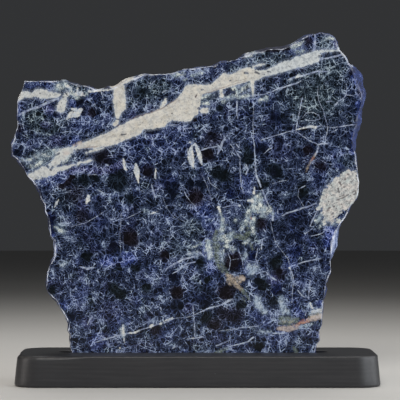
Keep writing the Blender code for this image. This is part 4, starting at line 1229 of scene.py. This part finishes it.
def make_wood():
    """Black-stained wood with its grain and pores, and a paler band on the top edge's rounding that is
    partly wear and partly a painted highlight.
    """
    material, shader = new_material("black stained wood")
    n = Nodes(material.node_tree)
    place = n.place_in_mm()
    wavy = n.bent(place, 60.0, 3.0)
    stretched = n.add("Mapping", {"Vector": wavy, "Scale": (WOOD_STRETCH, 1.0, 1.0)}).outputs[0]
    x, y, z = n.parts(wavy)
    ring_place = n.add("CombineXYZ", {"X": n.times(x, RING_STRETCH), "Y": n.plus(y, RING_MIDDLE[0]),
                                      "Z": n.plus(z, RING_MIDDLE[1])}).outputs[0]
    rings = n.add("TexWave", {"Vector": ring_place, "Scale": 0.085, "Distortion": 3.2,
                              "Detail": 2.0, "Detail Scale": 0.05},
                  wave_type="RINGS", rings_direction="X").outputs[1]
    streaks = n.grain(stretched, 1.5, 4.0, 0.65)
    pores = n.spread(n.grain(stretched, 0.55, 1.0), 0.66, 0.74)
    mottle = n.grain(place, 30.0, 2.0)
    value = n.plus(n.times(rings, 0.12), n.times(streaks, 0.68))
    value = n.plus(value, n.times(mottle, 0.30))
    colour = n.shades(value, WOOD_STEPS, WOOD_TONES)
    colour = n.mix(n.times(pores, 0.3), colour, tone(30, 30, 32))

    # A paler band on the top edge's rounding: partly wear, partly a painted highlight where light catches
    # the edge.
    rub = n.times_plus(n.grain(place, 4.0, 4.0, 0.65), 1.2, -0.9)
    worn_and_highlit = n.spread(n.plus(n.attribute("rubbed_and_highlit"), rub), 0.35, 0.85)
    colour = n.mix(n.times(worn_and_highlit, 0.35), colour, tone(98, 94, 90))
    dust = n.use(DUST, {"Place": place, "Amount": 1.0})
    colour = n.mix(n.times(dust["Specks"], 0.55), colour, tone(168, 170, 172))
    n.plug(shader.inputs["Base Color"], colour)

    rough = n.plus(n.times_plus(streaks, 0.16, 0.36), n.times(dust["Scratches"], -0.05))
    n.plug(shader.inputs["Roughness"], rough)
    height = n.minus(n.times(streaks, 0.5), n.times(pores, 0.6))
    n.plug(shader.inputs["Normal"], n.bump(height, 0.35, 0.12))
    shader.inputs["Specular IOR Level"].default_value = 0.36
    return material


def make_floor_material():
    """A plain pale floor with the faintest mottle."""
    material, shader = new_material("pale floor")
    n = Nodes(material.node_tree)
    mottle = n.grain(n.place_in_mm(), 220.0, 3.0)
    n.plug(shader.inputs["Base Color"], n.mix(mottle, tone(196, 193, 188), tone(204, 201, 196)))
    shader.inputs["Roughness"].default_value = 0.75
    return material


# ---------------------------------------------------------------- the slice


def rim_roughness(height):
    """0 inside the stand's slot, 1 on the free rim above it."""
    return min(1.0, max(0.0, (height - ROUGH_FROM) / (ROUGH_FULL - ROUGH_FROM)))


def facet(place, size, depth):
    """How deep the flat-faced breaks of one size cut at a place."""
    # Each Voronoi cell is one flat break, with its own depth and its own lean.
    cell = place / size
    centre = noise.voronoi(cell)[1][0]
    lean = noise.noise_vector(centre * 2.7).dot(cell - centre)
    return max(0.0, depth * (0.5 + 0.6 * noise.noise(centre * 1.9) + 1.1 * lean))


def breakage(place):
    """How deep the rim is broken away at a place."""
    cut = facet(place, *COARSE_BREAK) + facet(place + FINE_BREAK_SHIFT, *FINE_BREAK)
    return cut + CRUMB[1] * (0.5 + 0.5 * noise.fractal(place / CRUMB[0], 0.8, 2.0, 3))


def edge_loop(bm, depth):
    """The open edge of the rim at a depth, as its points in order."""
    border = [v for v in bm.verts if abs(v.co.y - depth) < 0.001 * MM and
              any(e.is_boundary for e in v.link_edges)]
    loop = [min(border, key=lambda v: (v.co.z, v.co.x))]
    seen = set(loop)
    while True:
        nexts = [e.other_vert(loop[-1]) for e in loop[-1].link_edges if e.is_boundary]
        nexts = [v for v in nexts if v not in seen]
        if not nexts:
            return loop
        loop.append(nexts[0])
        seen.add(nexts[0])


def inward(loop, index, reach=5):
    """The direction into the face at one point of its edge."""
    ahead = loop[(index + reach) % len(loop)].co
    behind = loop[index - reach].co
    along = ahead - behind
    return Vector((-along.z, 0.0, along.x)).normalized()


def area_sign(loop):
    """Which way round a loop runs, as +1 or -1."""
    total = sum(a.co.x * b.co.z - b.co.x * a.co.z for a, b in zip(loop, loop[1:] + loop[:1]))
    return 1.0 if total > 0 else -1.0


def bridge(bm, near, far):
    """Faces between two closed rows of points."""
    count = len(near)
    for i in range(count):
        j = (i + 1) % count
        bm.faces.new((near[i], near[j], far[j], far[i]))


def close_face(bm, loop, side, bruise_and_highlight):
    """Close one sawn side: a narrow arris, marked for its pale bruising and painted highlight, then the
    flat face inside it.
    """
    sign = area_sign(loop)
    into = [inward(loop, i) * sign for i in range(len(loop))]
    inner = []
    for vert, way in zip(loop, into):
        rough = rim_roughness(vert.co.z)
        flake = max(0.0, noise.noise(vert.co / FLAKE_SIZE) * 1.6 + 0.25) * rough
        wander = ARRIS_WANDER[1] * rough * (0.5 + 0.5 * noise.noise(vert.co / ARRIS_WANDER[0]))
        width = ARRIS_WIDTH[0] + (ARRIS_WIDTH[1] - ARRIS_WIDTH[0]) * flake
        drop = ARRIS_DROP[0] + (ARRIS_DROP[1] - ARRIS_DROP[0]) * flake
        inner.append(Vector((vert.co.x, side * SLAB_HALF, vert.co.z)) + way * (width + wander))
        vert.co += way * wander
        vert.co.y = side * (SLAB_HALF - drop)
        vert[bruise_and_highlight] = 1.0
    after = inner[1:] + inner[:1]
    smooth = [(inner[i - 1] + place * 2 + after[i]) / 4 for i, place in enumerate(inner)]
    verts = [bm.verts.new(place) for place in smooth]
    bridge(bm, loop, verts)
    bm.faces.new(verts)


def make_slice(material):
    """The slice: the frame's slab with its rim broken finer, and its edges marked for pale bruising and a
    painted highlight.
    """
    noise.seed_set(CHIP_SEED)
    bm = bmesh.new()
    bm.from_mesh(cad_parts["sodalite_slab"].data)
    bmesh.ops.remove_doubles(bm, verts=bm.verts, dist=0.001 * MM)
    broken = bm.verts.layers.float.new("broken")
    bruise_and_highlight = bm.verts.layers.float.new("bruise_and_highlight")
    # The triangles that lie in a sawn side go; close_face puts each side back.
    flats = [f for f in bm.faces if abs(sum(v.co.y for v in f.verts)) > 2.999 * SLAB_HALF]
    bmesh.ops.delete(bm, geom=flats, context="FACES")
    bmesh.ops.subdivide_edges(bm, edges=bm.edges[:], cuts=RIM_CUTS, use_grid_fill=True)

    free = [v for v in bm.verts if not v.is_boundary and v.co.z > ROUGH_FROM]
    for _ in range(RIM_SMOOTHING):
        bmesh.ops.smooth_vert(bm, verts=free, factor=0.5, use_axis_x=True, use_axis_z=True)
    bm.normal_update()
    moves = []
    for vert in bm.verts:
        out = Vector((vert.normal.x, 0.0, vert.normal.z))
        edge = min(1.0, (SLAB_HALF - abs(vert.co.y)) / EDGE_KEPT)
        if out.length > 0.2 and edge > 0.0:
            cut = breakage(vert.co) * rim_roughness(vert.co.z) * edge
            moves.append((vert, out.normalized() * -cut))
    for vert, move in moves:
        vert.co += move
    for vert in bm.verts:
        vert[broken] = 1.0
        # Near both polished faces the rim is marked for the pale arris: partly bruising, partly a painted
        # highlight.
        vert[bruise_and_highlight] = max(0.0, 1.0 - (vert.co.y + SLAB_HALF) / BRUISE_AND_HIGHLIGHT_DEPTH,
                           1.0 - (SLAB_HALF - vert.co.y) / BRUISE_AND_HIGHLIGHT_DEPTH)
    for side in (-1, 1):
        close_face(bm, edge_loop(bm, side * SLAB_HALF), side, bruise_and_highlight)
    bmesh.ops.recalc_face_normals(bm, faces=bm.faces)
    return new_piece("sodalite_slice", bm, material, "sodalite_slab")


# ---------------------------------------------------------------- the stand


def rounded_outline(half_x, half_y, radius, segments, step):
    """A rounded rectangle as (point, outward direction) pairs, anticlockwise from above."""
    turns = [(1, -1, -90), (1, 1, 0), (-1, 1, 90), (-1, -1, 180)]
    outline = []
    for index, (side_x, side_y, first) in enumerate(turns):
        middle = Vector((side_x * (half_x - radius), side_y * (half_y - radius)))
        for k in range(segments + 1):
            angle = math.radians(first + 90.0 * k / segments)
            way = Vector((math.cos(angle), math.sin(angle)))
            outline.append((middle + way * radius, way))
        start, way = outline[-1]
        next_x, next_y, next_first = turns[(index + 1) % 4]
        angle = math.radians(next_first)
        end = Vector((next_x * (half_x - radius), next_y * (half_y - radius)))
        end += Vector((math.cos(angle), math.sin(angle))) * radius
        parts = max(1, round((end - start).length / step))
        outline += [(start.lerp(end, k / parts), way) for k in range(1, parts)]
    return outline


def top_round_at(point):
    """The radius of the stand's top edge beside a point of its outline."""
    share = (SANDED_FROM - point.x) / (SANDED_FROM - SANDED_FULL)
    share = min(1.0, max(0.0, share)) if point.y < 0 else 0.0
    return TOP_ROUND + (TOP_ROUND_SANDED - TOP_ROUND) * share


def loft(rows):
    """A mesh of the faces between rows of points, closed by a flat face at each end."""
    bm = bmesh.new()
    rings = [[bm.verts.new(point) for point in row] for row in rows]
    for near, far in zip(rings, rings[1:]):
        bridge(bm, near, far)
    bm.faces.new(list(reversed(rings[0])))
    bm.faces.new(rings[-1])
    return bm


def stand_rows():
    """The stand's outline at each level, from the underside to the top."""
    outline = rounded_outline(STAND_SIZE.x / 2, STAND_SIZE.y / 2, CORNER_RADIUS,
                              CORNER_SEGMENTS, SIDE_STEP)
    quarter = [math.radians(90.0 * k / ROUND_SEGMENTS) for k in range(ROUND_SEGMENTS + 1)]
    levels = [("low", 1 - math.sin(a), 1 - math.cos(a)) for a in quarter]
    levels += [("side", 0.0, share) for share in (0.2, 0.4, 0.6, 0.8)]
    levels += [("high", 1 - math.cos(a), 1 - math.sin(a)) for a in quarter]
    rows = []
    for part, inset, drop in levels:
        row = []
        for point, way in outline:
            top = top_round_at(point)
            if part == "low":
                inward_by, height = inset * BOTTOM_ROUND, drop * BOTTOM_ROUND
            elif part == "high":
                inward_by, height = inset * top, STAND_SIZE.z - drop * top
            else:
                inward_by = 0.0
                height = BOTTOM_ROUND + (STAND_SIZE.z - top - BOTTOM_ROUND) * drop
            spot = Vector((point.x, point.y, height)) / HAND_WAVE[0]
            wave = HAND_WAVE[1] * (noise.noise(spot) - 1)
            moved = point - way * (inward_by - wave)
            lean = 1.0 - END_LEAN / (STAND_SIZE.x / 2) * height / STAND_SIZE.z
            row.append(Vector((moved.x * lean, moved.y, height)))
        rows.append(row)
    return rows


def slot_rows():
    """The slot cutter's outline at each level; it flares where it leaves the top."""
    levels = [(SLOT_FLOOR, 0.0), (STAND_SIZE.z - SLOT_ARRIS, 0.0),
              (STAND_SIZE.z - SLOT_ARRIS * 0.4, SLOT_ARRIS * 0.25),
              (STAND_SIZE.z, SLOT_ARRIS), (STAND_SIZE.z + 2 * MM, SLOT_ARRIS * 3)]
    rows = []
    for height, flare in levels:
        half_width = SLOT_WIDTH / 2 + flare
        outline = rounded_outline(SLOT_LENGTH / 2 + flare, half_width, half_width * 0.999,
                                  SLOT_SEGMENTS, SLOT_STEP)
        rows.append([Vector((p.x + SLOT_MIDDLE, p.y, height)) for p, _ in outline])
    return rows


def placed(name, data):
    """An object in the scene."""
    made = bpy.data.objects.new(name, data)
    bpy.context.scene.collection.objects.link(made)
    return made


def placed_mesh(name, bm):
    """An object in the scene with the mesh that has been built."""
    mesh = bpy.data.meshes.new(name)
    bm.to_mesh(mesh)
    bm.free()
    return placed(name, mesh)


def make_stand(material):
    """The slotted stand, with its top front edge sanded rounder at the left."""
    block = placed_mesh("block", loft(stand_rows()))
    cutter = placed_mesh("slot cutter", loft(slot_rows()))
    cut = block.modifiers.new("slot", "BOOLEAN")
    cut.operation, cut.solver, cut.object = "DIFFERENCE", "EXACT", cutter
    bpy.context.view_layer.update()
    shaped = bmesh.new()
    shaped.from_object(block, bpy.context.evaluated_depsgraph_get())
    for spare in (cutter, block):
        bpy.data.objects.remove(spare)
    # The top edge's rounding carries a paler band, partly wear and partly a painted highlight; none
    # beside the slot.
    rubbed_and_highlit = shaped.verts.layers.float.new("rubbed_and_highlit")
    for vert in shaped.verts:
        below = STAND_SIZE.z - vert.co.z
        near = below / top_round_at(vert.co) if below < TOP_ROUND_SANDED else 1.0
        outside = abs(vert.co.y) > SLOT_WIDTH
        vert[rubbed_and_highlit] = max(0.0, 1.0 - abs(near - 0.4) * 1.6) if outside else 0.0
    return new_piece("slotted_stand", shaped, material, "wooden_stand")


def new_piece(name, bm, material, node):
    """A piece of the object that stands for a node of the frame."""
    piece = placed_mesh(name, bm)
    mesh = piece.data
    if "custom_normal" in mesh.attributes:
        mesh.attributes.remove(mesh.attributes["custom_normal"])
    mesh.set_sharp_from_angle(angle=math.radians(SHARP_ANGLE))
    for polygon in mesh.polygons:
        polygon.use_smooth = polygon.area < FLAT_AREA
    mesh.materials.append(material)
    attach(piece, "root")
    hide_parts(node)
    return piece


# ---------------------------------------------------------------- camera, floor and light

CAMERA_PLACE = (0.002, -1.52, 0.147)
CAMERA_LENS = 170.0
AIM = Vector((0.0, 0.0, 0.13))
FLOOR_RADIUS = 4.0
FLOOR_SEGMENTS = 96
WORLD_TONE, WORLD_LIGHT = (0.92, 0.95, 1.0, 1.0), 0.035
# Name, place, width, height, spread in degrees, power in watts and colour of each soft light.
LIGHTS = [
    ("front soft light", (-0.25, -1.75, 1.45), 1.2, 0.7, 40, 2.25, (1.0, 0.985, 0.96)),
    ("right window light", (1.30, -0.80, 0.42), 1.1, 1.0, 70, 4.3, (0.90, 0.95, 1.0)),
    ("right edge light", (1.25, 0.14, 0.35), 0.5, 0.9, 60, 1.2, (0.94, 0.97, 1.0)),
    ("left strip light", (-1.35, -0.28, 0.40), 0.40, 1.1, 90, 2.3, (1.0, 0.94, 0.90)),
    ("overhead light", (0.1, 0.9, 1.9), 1.4, 1.0, 70, 2.8, (1.0, 1.0, 1.0)),
]


def make_camera():
    """The camera, level with the middle of the slice and square to its face."""
    camera = placed("camera", bpy.data.cameras.new("camera"))
    camera.data.lens = CAMERA_LENS
    camera.location = CAMERA_PLACE
    camera.rotation_euler = (math.radians(90), 0.0, 0.0)
    bpy.context.scene.camera = camera


def make_light(name, place, width, height, spread_angle, power, colour):
    """A soft rectangular light turned to the slice."""
    light = bpy.data.lights.new(name, "AREA")
    light.shape = "RECTANGLE"
    light.size, light.size_y = width, height
    light.spread = math.radians(spread_angle)
    light.energy, light.color = power, colour
    lamp = placed(name, light)
    lamp.location = place
    lamp.rotation_euler = (AIM - Vector(place)).to_track_quat("-Z", "Y").to_euler()


def make_floor():
    """A plain pale floor."""
    bm = bmesh.new()
    bmesh.ops.create_circle(bm, cap_ends=True, segments=FLOOR_SEGMENTS, radius=FLOOR_RADIUS)
    floor = placed_mesh("floor", bm)
    floor.data.materials.append(make_floor_material())


def make_world():
    """A dim even surround, so that the polished face stays deep."""
    world = bpy.data.worlds.new("studio")
    world.use_nodes = True
    background = world.node_tree.nodes["Background"]
    background.inputs["Color"].default_value = WORLD_TONE
    background.inputs["Strength"].default_value = WORLD_LIGHT
    bpy.context.scene.world = world


bpy.context.scene.view_settings.view_transform = "Standard"
make_camera()
make_slice(make_stone())
make_stand(make_wood())
make_floor()
make_world()
for light_settings in LIGHTS:
    make_light(*light_settings)
